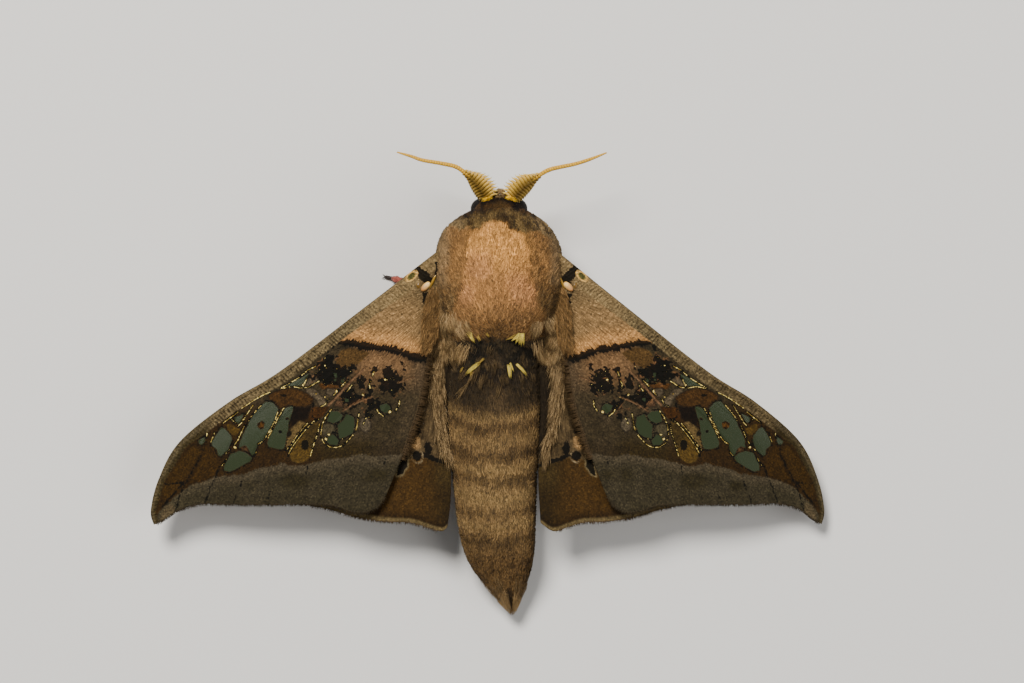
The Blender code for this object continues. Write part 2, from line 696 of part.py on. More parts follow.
def make_antenna(side_name):
    side = SIDES[side_name]
    line = Line(ANTENNA_PATHS[side_name])
    steps = 12
    places = [line.at(i / steps) for i in range(steps + 1)]
    radii = [through([(r,) for r in ANTENNA_RADII], i / steps)[0] for i in range(steps + 1)]
    shaft = tube("antenna_" + side_name, places, radii)
    rami = []
    first, last = COMB_SHARE
    for i in range(RAMI):
        t = (i + 0.5) / RAMI
        share = first + (last - first) * t
        root = line.at(share)
        ahead = (line.at(share + 0.01) - root).normalized()
        front = Vector((-side * ahead.y, side * ahead.x, 0)).normalized() * -1
        if front.y > 0:
            front = -front
        swell = 0.6 + 0.4 * math.sin(math.pi * (0.15 + 0.75 * t))
        for way, length, up in ((front, RAMUS_LENGTH[0], 0.25), (-front, RAMUS_LENGTH[1], -0.35)):
            direction = (way + ahead * 0.55 + Vector((0, 0, up))).normalized()
            width, thick = (2 * h for h in RAMUS_HALF)
            rami.append(straight_lock(root, direction, (length * swell, width), thick=thick, sag=-0.12))
    return combine(shaft, rami)


def make_leg(name, path):
    end = Vector(path[-1])
    ahead = Vector((*FOOT_DIRECTIONS[name], 0)).normalized()
    foot = [(*(end + ahead * s * FOOT_LENGTH).xy, FOOT_Z) for s in (0.35, 0.7, 1.0)]
    points = list(path) + foot
    steps = 12
    line = Line(points)
    places = [line.at(i / steps) for i in range(steps + 1)]
    radii = [through([(r,) for r in LEG_RADII], i / steps)[0] for i in range(steps + 1)]
    obj = tube("leg_" + name, places, radii)
    for vertex in obj.data.vertices:
        if vertex.co.z < FOOT_FLAT * MM:
            vertex.co.z = 0
        vertex.co.z = min(vertex.co.z, 5.2 * MM)
    x, y, _ = points[0]
    above = box("hip_cut", (x - 2, y - 2, LEG_ROOT_Z), (x + 2, y + 2, 9))
    return combine(obj, [above], "DIFFERENCE")


def finish(obj, finish_name, root):
    obj.data.materials.clear()
    obj.data.materials.append(material(finish_name))
    if finish_name == "eye":
        obj.data.shade_smooth()
    obj.parent = root


def build():
    clear_scene()
    root = bpy.data.objects.new("moth", None)
    bpy.context.scene.collection.objects.link(root)
    root.location = Vector(ORIGIN_SHIFT) * MM
    finish(make_thorax(), "coat", root)
    finish(make_abdomen(), "coat", root)
    finish(make_head(), "coat", root)
    for side_name in SIDES:
        finish(make_eye(side_name), "eye", root)
        finish(make_antenna(side_name), "antenna", root)
        finish(make_forewing(side_name), "wing", root)
        finish(make_hindwing(side_name), "hindwing", root)
    for name, path in LEG_PATHS.items():
        finish(make_leg(name, path), "leg", root)
    gather("moth_model")


build()
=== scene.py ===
"""The looks of a falcate-winged silk moth, standing on a plain pale floor with its wings spread flat."""

import math

import bpy
import numpy as np
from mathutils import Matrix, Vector


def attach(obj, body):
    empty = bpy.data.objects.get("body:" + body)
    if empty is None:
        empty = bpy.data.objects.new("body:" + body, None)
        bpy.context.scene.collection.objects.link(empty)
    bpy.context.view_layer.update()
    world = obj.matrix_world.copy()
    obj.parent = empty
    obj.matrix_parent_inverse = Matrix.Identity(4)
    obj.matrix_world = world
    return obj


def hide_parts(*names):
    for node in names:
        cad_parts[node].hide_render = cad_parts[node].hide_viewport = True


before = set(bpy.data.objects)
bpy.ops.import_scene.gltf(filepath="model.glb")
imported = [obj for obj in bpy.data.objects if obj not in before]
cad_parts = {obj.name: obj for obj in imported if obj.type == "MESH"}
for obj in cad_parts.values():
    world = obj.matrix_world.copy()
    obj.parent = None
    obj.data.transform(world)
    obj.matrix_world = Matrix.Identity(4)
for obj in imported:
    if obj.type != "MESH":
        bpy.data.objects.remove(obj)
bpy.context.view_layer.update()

MM = 0.001
BODY_SHIFT = np.array((-0.8, 0.1, 0.0))  # from the body's midline to the model's middle, in millimetres
SIDES = {"left": 1, "right": -1}
CHART_STEP, CHART_X, CHART_Y = 0.095, 497.5, 385.0  # the chart of the markings: mm a step, midline, origin
VIEW_CENTRE, CAMERA_HEIGHT, WING_LEVEL = (512.0, 341.5), 370.0, 6.0


def to_world(points):
    """Points in body millimetres as world metres."""
    return (np.asarray(points, float) + BODY_SHIFT) * MM


def tone(r, g, b):
    """A colour in linear light from its usual 0 to 255 values."""
    c = np.array((r, g, b), float) / 255
    return np.where(c < 0.04045, c / 12.92, ((c + 0.055) / 1.055) ** 2.4)


def smoothstep(low, high, value):
    """0 at low and 1 at high, with a smooth rise between them; low may be the greater."""
    t = np.clip((value - low) / (high - low), 0, 1)
    return t * t * (3 - 2 * t)


def blend(colours, other, mask):
    """Colours with another laid over them where the mask is 1."""
    return colours + (other - colours) * np.clip(mask, 0, 1)[..., None]


def paint(colours, *coats):
    """Colours with coats laid over them in turn, each a tone's usual values and the mask where it goes."""
    for values, mask in coats:
        colours = blend(colours, tone(*values), mask)
    return colours


def lattice(ix, iy, seed):
    """A fixed random value from 0 to 1 for each lattice point."""
    h = (ix.astype(np.int64) * 374761393 + iy.astype(np.int64) * 668265263 + seed * 974634777) & 0x7FFFFFFF
    h = ((h ^ (h >> 13)) * 1274126177) & 0x7FFFFFFF
    return ((h ^ (h >> 16)) & 0xFFFF) / 65535.0


def grain(x, y, size, seed, octaves=2):
    """Smooth random variation from 0 to 1, with spots of the given size."""
    total, weight, amount = 0.0, 0.0, 1.0
    for octave in range(octaves):
        u, v = x / size, y / size
        iu, iv = np.floor(u), np.floor(v)
        fu, fv = u - iu, v - iv
        fu, fv = fu * fu * (3 - 2 * fu), fv * fv * (3 - 2 * fv)
        s = seed + 17 * octave
        a = lattice(iu, iv, s) * (1 - fu) + lattice(iu + 1, iv, s) * fu
        b = lattice(iu, iv + 1, s) * (1 - fu) + lattice(iu + 1, iv + 1, s) * fu
        total = total + amount * (a * (1 - fv) + b * fv)
        weight += amount
        amount *= 0.55
        size *= 0.5
    return total / weight


def to_line(x, y, points):
    """The distance to a line through the points, and how far along it the nearest place is."""
    best = np.full(x.shape, 1e9)
    along = np.zeros(x.shape)
    done = 0.0
    for (ax, ay), (bx, by) in zip(points, points[1:]):
        dx, dy = bx - ax, by - ay
        length = math.hypot(dx, dy)
        t = np.clip(((x - ax) * dx + (y - ay) * dy) / length**2, 0, 1)
        d = np.hypot(x - ax - t * dx, y - ay - t * dy)
        closer = d < best
        best = np.where(closer, d, best)
        along = np.where(closer, done + t * length, along)
        done += length
    return best, along


def to_patch(x, y, points):
    """The distance to a closed patch's edge, below 0 inside it."""
    distance, _ = to_line(x, y, list(points) + [points[0]])
    inside = np.zeros(x.shape, bool)
    for (ax, ay), (bx, by) in zip(points, list(points[1:]) + [points[0]]):
        if ay != by:
            inside ^= ((ay > y) != (by > y)) & (x < (bx - ax) * (y - ay) / (by - ay) + ax)
    return np.where(inside, -distance, distance)


def through(values, shares):
    """Points on the smooth curve through the values, at shares from 0 to 1 of their number."""
    values = np.asarray(values, float)
    place = np.clip(np.asarray(shares, float), 0, 1) * (len(values) - 1)
    i = np.minimum(place.astype(int), len(values) - 2)
    t = (place - i)[..., None]
    p, q = values[np.maximum(i - 1, 0)], values[i]
    r, s = values[i + 1], values[np.minimum(i + 2, len(values) - 1)]
    return 0.5 * (2 * q + (r - p) * t + (2 * p - 5 * q + 4 * r - s) * t**2 + (3 * q - p - 3 * r + s) * t**3)


def along_curve(points, shares):
    """Points on a smooth curve at shares of its length."""
    fine = through(points, np.linspace(0, 1, 24 * len(points)))
    steps = np.r_[0, np.cumsum(np.linalg.norm(np.diff(fine, axis=0), axis=1))]
    place = np.asarray(shares) * steps[-1]
    return np.stack([np.interp(place, steps, fine[:, k]) for k in range(fine.shape[1])], -1)


def new_object(name, points, faces, material, colours=None, values=None):
    """A mesh object in world metres, from points in body millimetres."""
    mesh = bpy.data.meshes.new(name)
    points = to_world(points)
    counts = np.array([len(f) for f in faces]) if not isinstance(faces, np.ndarray) else None
    loops = faces.reshape(-1) if counts is None else np.concatenate([np.asarray(f) for f in faces])
    sizes = np.full(len(faces), faces.shape[1]) if counts is None else counts
    mesh.vertices.add(len(points))
    mesh.vertices.foreach_set("co", points.astype(np.float32).reshape(-1))
    if len(faces):
        mesh.loops.add(len(loops))
        mesh.loops.foreach_set("vertex_index", loops.astype(np.int32))
        mesh.polygons.add(len(sizes))
        mesh.polygons.foreach_set("loop_start", np.r_[0, np.cumsum(sizes)[:-1]].astype(np.int32))
        mesh.polygons.foreach_set("loop_total", sizes.astype(np.int32))
    mesh.update(calc_edges=True)
    for key, colour in (colours or {}).items():
        data = mesh.attributes.new(key, "FLOAT_COLOR", "POINT")
        data.data.foreach_set("color", np.c_[colour, np.ones(len(colour))].astype(np.float32).reshape(-1))
    for key, value in (values or {}).items():
        kind = "FLOAT" if np.ndim(value) == 1 else "FLOAT_VECTOR"
        data = mesh.attributes.new(key, kind, "POINT")
        data.data.foreach_set("value" if kind == "FLOAT" else "vector", np.asarray(value, np.float32).reshape(-1))
    mesh.shade_smooth()
    if material:
        mesh.materials.append(material)
    obj = bpy.data.objects.new(name, mesh)
    bpy.context.scene.collection.objects.link(obj)
    return obj


# Materials
class Nodes:
    """A short way to place and join the nodes of one tree."""

    def __init__(self, tree):
        self.tree = tree

    def add(self, kind, inputs=(), **settings):
        node = self.tree.nodes.new(kind)
        for key, value in settings.items():
            setattr(node, key, value)
        for key, value in dict(inputs).items():
            socket = node.inputs[key]
            if isinstance(value, bpy.types.NodeSocket):
                self.link(value, socket)
            else:
                socket.default_value = value
        return node

    def link(self, output, socket):
        self.tree.links.new(output, socket)

    def math(self, operation, *values):
        return self.add("ShaderNodeMath", dict(enumerate(values)), operation=operation).outputs[0]

    def plus(self, a, b):
        return self.math("ADD", a, b)

    def minus(self, a, b):
        return self.math("SUBTRACT", a, b)

    def times(self, a, b):
        return self.math("MULTIPLY", a, b)

    def range(self, value, low, high, to_low=0.0, to_high=1.0):
        limits = {"Value": value, "From Min": low, "From Max": high, "To Min": to_low, "To Max": to_high}
        return self.add("ShaderNodeMapRange", limits, interpolation_type="SMOOTHSTEP").outputs["Result"]

    def mix(self, factor, a, b, kind="MIX"):
        node = self.add("ShaderNodeMix", data_type="RGBA", blend_type=kind)
        for index, value in ((0, factor), (6, a), (7, b)):
            if isinstance(value, bpy.types.NodeSocket):
                self.link(value, node.inputs[index])
            else:
                node.inputs[index].default_value = value
        return node.outputs[2]


def shader_group(name, inputs, outputs):
    """An empty shader group with named sockets, each (name, kind, default)."""
    tree = bpy.data.node_groups.new(name, "ShaderNodeTree")
    for key, kind, default in inputs:
        socket = tree.interface.new_socket(key, in_out="INPUT", socket_type=kind)
        if default is not None:
            socket.default_value = default
    for key, kind in outputs:
        tree.interface.new_socket(key, in_out="OUTPUT", socket_type=kind)
    return tree, Nodes(tree), tree.nodes.new("NodeGroupInput"), tree.nodes.new("NodeGroupOutput")


def scale_dust_group():
    """Rows of tiny wing scales: how light each is, a chance for each and a height, from a place on the wing."""
    tree, n, source, sink = shader_group(
        "scale dust", [("Place", "NodeSocketVector", None), ("Size", "NodeSocketFloat", 0.1)],
        [("Spread", "NodeSocketFloat"), ("Chance", "NodeSocketFloat"), ("Height", "NodeSocketFloat")])
    scaled = n.add("ShaderNodeVectorMath", {0: source.outputs["Place"]}, operation="SCALE")
    n.link(n.math("DIVIDE", 1.0, source.outputs["Size"]), scaled.inputs["Scale"])
    cells = n.add("ShaderNodeTexVoronoi", {"Vector": scaled.outputs[0], "Scale": 1.0, "Randomness": 0.8},
                  voronoi_dimensions="2D")
    cloud = n.add("ShaderNodeTexNoise", {"Vector": scaled.outputs[0], "Scale": 0.23, "Detail": 4.0})
    each = n.add("ShaderNodeSeparateColor", {0: cells.outputs["Color"]})
    n.link(n.minus(n.plus(each.outputs[0], cloud.outputs["Fac"]), 1.0), sink.inputs["Spread"])
    n.link(each.outputs[1], sink.inputs["Chance"])
    n.link(n.plus(n.times(cells.outputs["Distance"], -0.6), cloud.outputs["Fac"]), sink.inputs["Height"])
    return tree


def hair_lines_group():
    """Fine hair that fans out from a wing's root: a value round 0 from a place on the wing."""
    tree, n, source, sink = shader_group(
        "hair lines", [("Place", "NodeSocketVector", None), ("Root", "NodeSocketVector", None),
                       ("Fineness", "NodeSocketFloat", 60.0)], [("Spread", "NodeSocketFloat")])
    away = n.add("ShaderNodeVectorMath", {0: source.outputs["Place"], 1: source.outputs["Root"]},
                 operation="SUBTRACT")
    dx, dy, _ = n.add("ShaderNodeSeparateXYZ", {0: away.outputs[0]}).outputs
    reach = n.add("ShaderNodeVectorMath", {0: away.outputs[0]}, operation="LENGTH").outputs["Value"]
    turn = n.times(n.math("ARCTAN2", dy, dx), source.outputs["Fineness"])
    laid = n.add("ShaderNodeCombineXYZ", {0: turn, 1: n.times(reach, 0.7), 2: 0.0})
    hair = n.add("ShaderNodeTexNoise", {"Vector": laid.outputs[0], "Scale": 1.0, "Detail": 3.0, "Roughness": 0.7})
    n.link(n.range(hair.outputs["Fac"], 0.3, 0.7, -0.5, 0.5), sink.inputs["Spread"])
    return tree


def fine_shade_group():
    """Fine uneven shade over a piece's own marks, and the height of its bump."""
    tree, n, source, sink = shader_group(
        "fine shade", [("Marks", "NodeSocketColor", None), ("Place", "NodeSocketVector", None),
                       ("Size", "NodeSocketFloat", 5000.0), ("Detail", "NodeSocketFloat", 4.0),
                       ("Edge", "NodeSocketFloat", 0.3), ("Strength", "NodeSocketFloat", 0.2)],
        [("Colour", "NodeSocketColor"), ("Height", "NodeSocketFloat")])
    marks, place, size, detail, edge, strength = source.outputs[:6]
    cloud = n.add("ShaderNodeTexNoise", {"Vector": place, "Scale": size, "Detail": detail}).outputs["Fac"]
    shade = n.range(cloud, edge, n.minus(1.0, edge), n.minus(1.0, strength), n.plus(1.0, strength))
    grey = n.add("ShaderNodeCombineColor", {0: shade, 1: shade, 2: shade})
    n.link(n.mix(1.0, marks, grey.outputs[0], "MULTIPLY"), sink.inputs["Colour"])
    n.link(cloud, sink.inputs["Height"])
    return tree


DUST = scale_dust_group()
HAIR_LINES = hair_lines_group()
FINE_SHADE = fine_shade_group()
WING_HAIR_ROOT = (3.5, -9.5, 0.0)  # the place on the flat wing that its fine hair fans out from


def wing_scales_group():
    """Wing scales in the colours of the markings, with black inks and gold beads whose brightest cells are painted
    glints, and in the windows a dark, slightly clear membrane that is partly painted shade.
    """
    tree, n, source, sink = shader_group(
        "wing scales", [("Marks", "NodeSocketColor", None), ("Chart", "NodeSocketVector", None),
                        ("Fields", "NodeSocketVector", None), ("Inks", "NodeSocketVector", None),
                        ("Size", "NodeSocketFloat", 0.12), ("Strength", "NodeSocketFloat", 0.8)],
        [("Colour", "NodeSocketColor"), ("Alpha", "NodeSocketFloat"), ("Roughness", "NodeSocketFloat"),
         ("Height", "NodeSocketFloat")])
    marks, place, fields, inks, size, strength = source.outputs[:6]
    window, relief, gold = n.add("ShaderNodeSeparateXYZ", {0: fields}).outputs
    ink, ripple, hairy = n.add("ShaderNodeSeparateXYZ", {0: inks}).outputs
    spread, chance, height = n.add("ShaderNodeGroup", {"Place": place, "Size": size}, node_tree=DUST).outputs
    hair = n.add("ShaderNodeGroup", {"Place": place, "Root": WING_HAIR_ROOT, "Fineness": 62.0},
                 node_tree=HAIR_LINES)
    drawn = n.times(n.times(hair.outputs[0], hairy), 1.15)
    # Partly pale scales, partly painted glints: a few single scales are made much lighter.
    fleck = n.times(n.range(chance, 0.86, 0.9), n.times(strength, 0.75))
    under_hair = n.times(hairy, n.times(strength, 0.6))
    grainy = n.times(spread, n.minus(strength, under_hair))
    light = n.plus(n.plus(1.0, grainy), n.plus(drawn, fleck))
    shade = n.add("ShaderNodeCombineColor", dict.fromkeys(range(3), n.math("MAXIMUM", light, 0.15)))
    rough = n.times(spread, 0.88)
    clear = n.range(n.plus(window, n.times(rough, 0.25)), -0.35, 0.15, 1.0, 0.0)
    black = n.range(n.plus(ink, rough), -0.45, 0.45, 1.0, 0.0)
    uneven = n.times(n.minus(chance, 0.5), 0.5)
    bead = n.range(n.plus(gold, uneven), 0.5, 0.75, 1.0, 0.0)
    # The gold beads run from dull gold to a bright pale gold: gold scales, with painted glints in their brightest
    # cells.
    gold_with_painted_glints = n.mix(n.range(spread, -0.25, 0.3), (*tone(124, 102, 46), 1), (*tone(226, 204, 122), 1))
    coloured = n.mix(1.0, marks, shade.outputs[0], "MULTIPLY")
    inked = n.mix(n.times(black, 0.94), coloured, (*tone(4, 4, 2), 1))
    # The windows' membrane is a dark smoky green and mostly opaque. This is partly its own sparse dark scales and
    # partly painted shade from under the wing.
    smoky_membrane_and_shade = n.mix(clear, inked, (0.026, 0.036, 0.016, 1))
    n.link(n.mix(bead, smoky_membrane_and_shade, gold_with_painted_glints), sink.inputs["Colour"])
    n.link(n.minus(1.0, n.times(clear, 0.17)), sink.inputs["Alpha"])
    dull = n.minus(0.78, n.times(clear, 0.36))
    n.link(n.minus(dull, n.times(bead, 0.4)), sink.inputs["Roughness"])
    lift = n.plus(n.plus(relief, n.times(height, 0.3)), n.times(drawn, 0.5))
    lift = n.plus(lift, n.times(ripple, 0.12))
    flat = n.minus(1.0, n.times(clear, 0.9))
    n.link(n.times(lift, flat), sink.inputs["Height"])
    return tree


WING_SCALES = wing_scales_group()


def new_material(name, roughness):
    made = bpy.data.materials.new(name)
    made.use_nodes = True
    tree = made.node_tree
    shader = tree.nodes["Principled BSDF"]
    shader.inputs["Roughness"].default_value = roughness
    return made, Nodes(tree), shader


def bump(n, shader, height, strength, distance):
    node = n.add("ShaderNodeBump", {"Height": height, "Strength": strength, "Distance": distance})
    n.link(node.outputs[0], shader.inputs["Normal"])


def wing_material(name, size, strength):
    """The finish of one pair of wings, from the size of its scales and how uneven they are."""
    made, n, shader = new_material(name, 0.75)
    scales = n.add("ShaderNodeGroup", {"Size": size, "Strength": strength}, node_tree=WING_SCALES)
    for key, kind in (("Marks", "Color"), ("Chart", "Vector"), ("Fields", "Vector"), ("Inks", "Vector")):
        source = n.add("ShaderNodeAttribute", attribute_name=key.lower())
        n.link(source.outputs[kind], scales.inputs[key])
    for key, socket in (("Colour", "Base Color"), ("Alpha", "Alpha"), ("Roughness", "Roughness")):
        n.link(scales.outputs[key], shader.inputs[socket])
    shader.inputs["Specular IOR Level"].default_value = 0.12
    bump(n, shader, scales.outputs["Height"], 0.8, 0.00012)
    return made


# The wings' outlines, flat, as the left pair, in body millimetres
COSTA = (
    (5.0, -13.1), (6.2, -12.2), (12.1, -7.7), (20.5, -1.35), (25.4, 1.6), (30.2, 5.4), (32.3, 9.0),
    (33.1, 12.0), (32.8, 13.4),
)
OUTER_MARGIN = (
    (32.8, 13.4), (31.6, 12.8), (30.2, 11.9), (27.9, 11.35), (24.3, 11.4), (17.3, 11.35), (15.4, 11.5),
    (13.9, 12.0), (12.6, 12.1), (11.4, 11.6), (10.5, 10.4),
)
INNER_MARGIN = (
    (4.7, -6.2), (6.1, -5.0), (6.7, -2.4), (7.4, 1.9), (8.4, 5.0), (9.2, 7.2), (10.5, 10.4),
)
HIND_COSTA = (
    (3.6, -6.6), (5.05, -5.4), (9.0, -4.6), (14.5, -0.2), (18.5, 5.0), (20.4, 9.4),
)
HIND_OUTER = (
    (20.4, 9.4), (18.6, 11.2), (15.9, 11.9), (13.4, 12.6), (10.7, 13.0), (8.3, 13.1), (6.6, 13.6), (5.4, 13.9),
)
HIND_INNER = {1: ((3.6, -3.2), (4.3, -1.0), (4.45, 3.0), (4.5, 8.0), (4.55, 11.0), (4.85, 13.5)),
              -1: ((3.6, -3.2), (4.0, -1.0), (4.0, 3.0), (3.95, 6.5), (3.95, 9.5), (4.15, 13.1))}
ROOT_CROWD = 1.35  # above 1, the lines along the wing crowd towards the costa at its root
WING_START_X, WING_SPAN, WING_Z = 5.0, 28.0, 8.0
WING_PITCH, WING_PITCH_Y = 0.055, -6.0
# For each side: the slope at the root and at the tip in degrees, where the wing starts to curve down, and the
# share of the full span
WING_FALL = {1: (5.0, 13.0, 16.0, 1.01), -1: (5.0, 30.0, 13.0, 0.965)}
HIND_LAYER = 1.0  # how far the hindwing lies below the forewing
# Each vein: its place across the wing and the share of the wing's length where it starts
FORE_VEINS = (
    (0.075, 0.0), (0.16, 0.5), (0.26, 0.42), (0.37, 0.42), (0.49, 0.42), (0.62, 0.0), (0.78, 0.34), (0.92, 0.0),
)
HIND_VEINS = ((0.12, 0.0), (0.28, 0.35), (0.44, 0.35), (0.6, 0.0), (0.8, 0.0))


def wing_sheet(front, outer, rear, along, across):
    """The flat wing's points at shares along it and across it, between its margins."""
    a, c = along[:, None, None], across[None, :, None]
    front_edge, rear_edge = along_curve(front, along)[:, None], along_curve(rear, along)[:, None]
    root = np.array(front[0]) + (np.array(rear[0]) - np.array(front[0])) * c**ROOT_CROWD
    ends = root * (1 - a) + along_curve(outer, across)[None] * a
    corners = (np.array(front[0]) * (1 - c) + np.array(rear[0]) * c) * (1 - a)
    corners = corners + (np.array(front[-1]) * (1 - c) + np.array(rear[-1]) * c) * a
    return front_edge * (1 - c) + rear_edge * c + ends - corners


def wing_place(x, y, side, above):
    """Points of the flat left wing, bent to a side's fall, at heights above its middle."""
    root, tip, start, span = WING_FALL[side]
    lateral = (x - WING_START_X) * span
    slope, last = math.radians(root), math.radians(tip)
    turn = (last - slope) / (WING_SPAN - start)
    beyond = np.maximum(lateral - start, 0)
    angle = slope + turn * beyond
    inside = np.minimum(lateral, start)
    across = inside * math.cos(slope) + (np.sin(angle) - math.sin(slope)) / turn
    down = inside * math.sin(slope) + (math.cos(slope) - np.cos(angle)) / turn
    z = WING_Z - down - WING_PITCH * np.maximum(0, y - WING_PITCH_Y) + above * np.cos(angle)
    return np.stack([side * (WING_START_X + across + above * np.sin(angle)), y, z], -1)


# The markings, on the chart of the left wings as the camera sees them: lines and patches as points
INNER_LINE = (
    (344, 343), (350, 343), (360, 345), (370, 346.5), (380, 348), (391, 349), (401, 352), (411, 356),
    (421, 358.5), (432, 360), (442, 362),
)
INNER_START = ((318, 341), (326, 339), (334, 341), (344, 343))
POST_LINE = (
    (440, 452), (424, 454), (406, 453), (389, 455), (375, 456.5), (363.5, 454), (352, 456), (341, 458),
    (326.5, 459), (311, 463.5), (298, 466.5), (282, 463.5), (269, 466.5), (256.5, 469), (243.5, 474),
    (216.5, 477), (200, 482), (191, 485.5), (184.5, 489), (170, 501), (160, 511), (154.5, 523),
)
WINDOWS = (
    ((286, 386), (300, 378), (309, 373.5), (306.5, 379), (302, 386), (292, 386)),
    ((266, 401), (272, 402), (278, 408), (278, 414), (274, 422), (268, 434), (262, 442), (258, 445), (254, 456),
     (251.5, 456), (249, 450), (244, 446.5), (239, 448), (240, 441), (243, 434), (247, 426), (250, 419),
     (255, 413), (261, 406)),
    ((285, 408), (291, 406), (293.5, 407), (292, 414), (289, 422), (288, 431), (286.5, 439), (284, 449),
     (281, 450), (269, 447), (267, 443.5), (269, 438), (275, 426), (281, 416)),
    ((231, 453), (239, 451), (246.5, 452.5), (252, 458), (250, 462), (243, 465.5), (236.5, 469), (230, 472),
     (224.5, 471), (224, 466.5), (228.5, 459)),
    ((221, 427), (225.5, 429), (228, 432), (231, 435.5), (232, 440), (230, 445.5), (227, 451), (221, 456.5),
     (218, 455.5), (217, 449), (212, 445.5), (212, 441), (215.5, 434.5)),
    ((234, 417.5), (244, 413.5), (241.5, 419), (238, 424), (235, 421)),
    ((198, 441), (205, 437), (206, 441), (203, 445), (199, 444)),
    ((331, 411), (338, 411), (343, 416), (340, 421), (333, 423.5), (327, 421)),
    ((346, 414), (354, 417), (355, 425), (352, 433.5), (344, 438), (338.5, 439), (338, 431), (337.5, 425),
     (343, 420)),
    ((327, 437.5), (333, 434), (338.5, 441), (337, 445.5), (330, 445), (326.5, 441)),
    ((333.5, 373), (337, 373), (337, 377), (334.5, 377.5)),
    ((334, 378.5), (336.5, 378), (336, 381), (334, 381)), ((341, 379), (345, 377.5), (344, 382.5), (341, 382)),
    ((345, 398), (348.5, 397.5), (348.5, 402), (345, 402)),
    ((379, 405.5), (386, 403), (390, 406), (391, 411), (385, 413.5), (380.5, 410.5)),
)
LACE = (
    ((317, 363), (326, 358), (335, 353.5), (338, 357), (335, 362), (341, 366), (349, 366), (356.5, 364),
     (356, 369), (352, 375), (348, 379), (344, 384), (341, 388), (335, 383), (326, 385), (321, 382),
     (316, 378.5), (311, 380), (309, 374.5), (316, 373), (319, 368)),
    ((355, 378), (361, 374.5), (366, 379), (366, 386), (361, 389), (356, 384)),
    ((383, 367), (388, 366), (394, 369), (399, 374), (404, 374), (404, 382), (403, 390), (397, 392), (393, 395),
     (386, 392), (380, 393), (378, 386), (380, 380), (383, 376)),
    ((400, 362), (404, 363), (403.5, 369), (401, 369)),
    ((372, 366), (378, 366), (377.5, 372), (372.5, 378), (371, 372)),
    ((368, 378), (373, 379), (374, 390), (371, 397), (367, 390)),
    ((398, 384), (405, 385), (403, 392), (398, 391)),
    ((336, 390), (352, 384), (356, 392), (362, 396), (360, 404), (350, 408), (342, 405), (338, 398)),
    ((364, 392), (372, 396), (376, 404), (378, 410), (370, 408), (364, 400)),
    ((376, 398), (382, 402), (380, 409), (375, 405)),
    ((363, 409), (369, 410), (374, 415), (371, 420), (366, 414)),
)
GOLD_LINES = (
    ((281, 388), (290, 383), (299, 377.5), (308, 370), (316, 366)),
    ((281, 388.5), (292, 386.5), (301, 388), (309, 387), (319, 381)), ((306.5, 379), (303.5, 385)),
    ((270, 392), (262, 395.5), (254, 400), (248, 404), (242, 408)), ((238, 412), (230, 418), (223, 423)),
    ((230, 418), (235.5, 423)), ((253, 405), (246.5, 415), (242, 422), (238, 426.5)),
    ((262, 404.5), (254, 413), (248.5, 421)), ((245, 425), (242, 431), (238, 440), (233, 446.5)),
    ((230.5, 449), (225.5, 453.5)), ((227, 458), (222, 466)),
    ((278, 412), (274, 422), (268, 434), (263, 441), (258, 444)),
    ((284, 408), (279, 416), (273.5, 427), (268, 438)), ((256.5, 452), (253.5, 455.5)),
    ((307.5, 423), (298, 434), (291, 445), (286, 450.5)),
    ((319, 419), (313.5, 421.5), (306, 429), (298, 439), (291, 449), (288, 456)),
    ((319.5, 424), (317.5, 434), (313.5, 445), (310.5, 456)),
    ((331.5, 409), (326, 416.5), (322, 425), (321, 435)), ((321, 437), (324, 443), (330, 447)),
    ((330, 447), (337, 447.5), (343.5, 445), (349, 439.5), (353, 435)),
    ((356, 430), (357.5, 423), (359, 413.5)), ((207, 433), (206.5, 436)),
    ((214.5, 433), (212.5, 438), (211, 442)), ((376.5, 409), (379, 413), (383.5, 416)),
    ((389.5, 411.5), (391, 412)), ((395, 411.5), (399, 405.5), (399.5, 400)),
    ((370, 389), (369.5, 384), (371, 381)), ((372.5, 376), (374, 371.5)), ((352, 385), (347, 391.5)),
    ((347.5, 380), (341.5, 386)), ((337, 391.5), (333.5, 395)), ((328, 399), (325, 404.5), (321, 406.5)),
    ((366, 418), (363, 424)),
)
# Each dot: its place and its size
PALE_DOTS = (
    (303, 385, 1.2), (325, 397, 1.0), (329, 434.5, 1.1), (326, 439, 1.4), (390, 411.8, 1.5), (316, 394, 1.0),
    (235, 447.5, 1.3), (336.5, 391, 1.3), (363, 394.5, 1.2), (385, 379.5, 1.2), (325, 365.5, 0.9),
    (343, 439, 0.8),
)
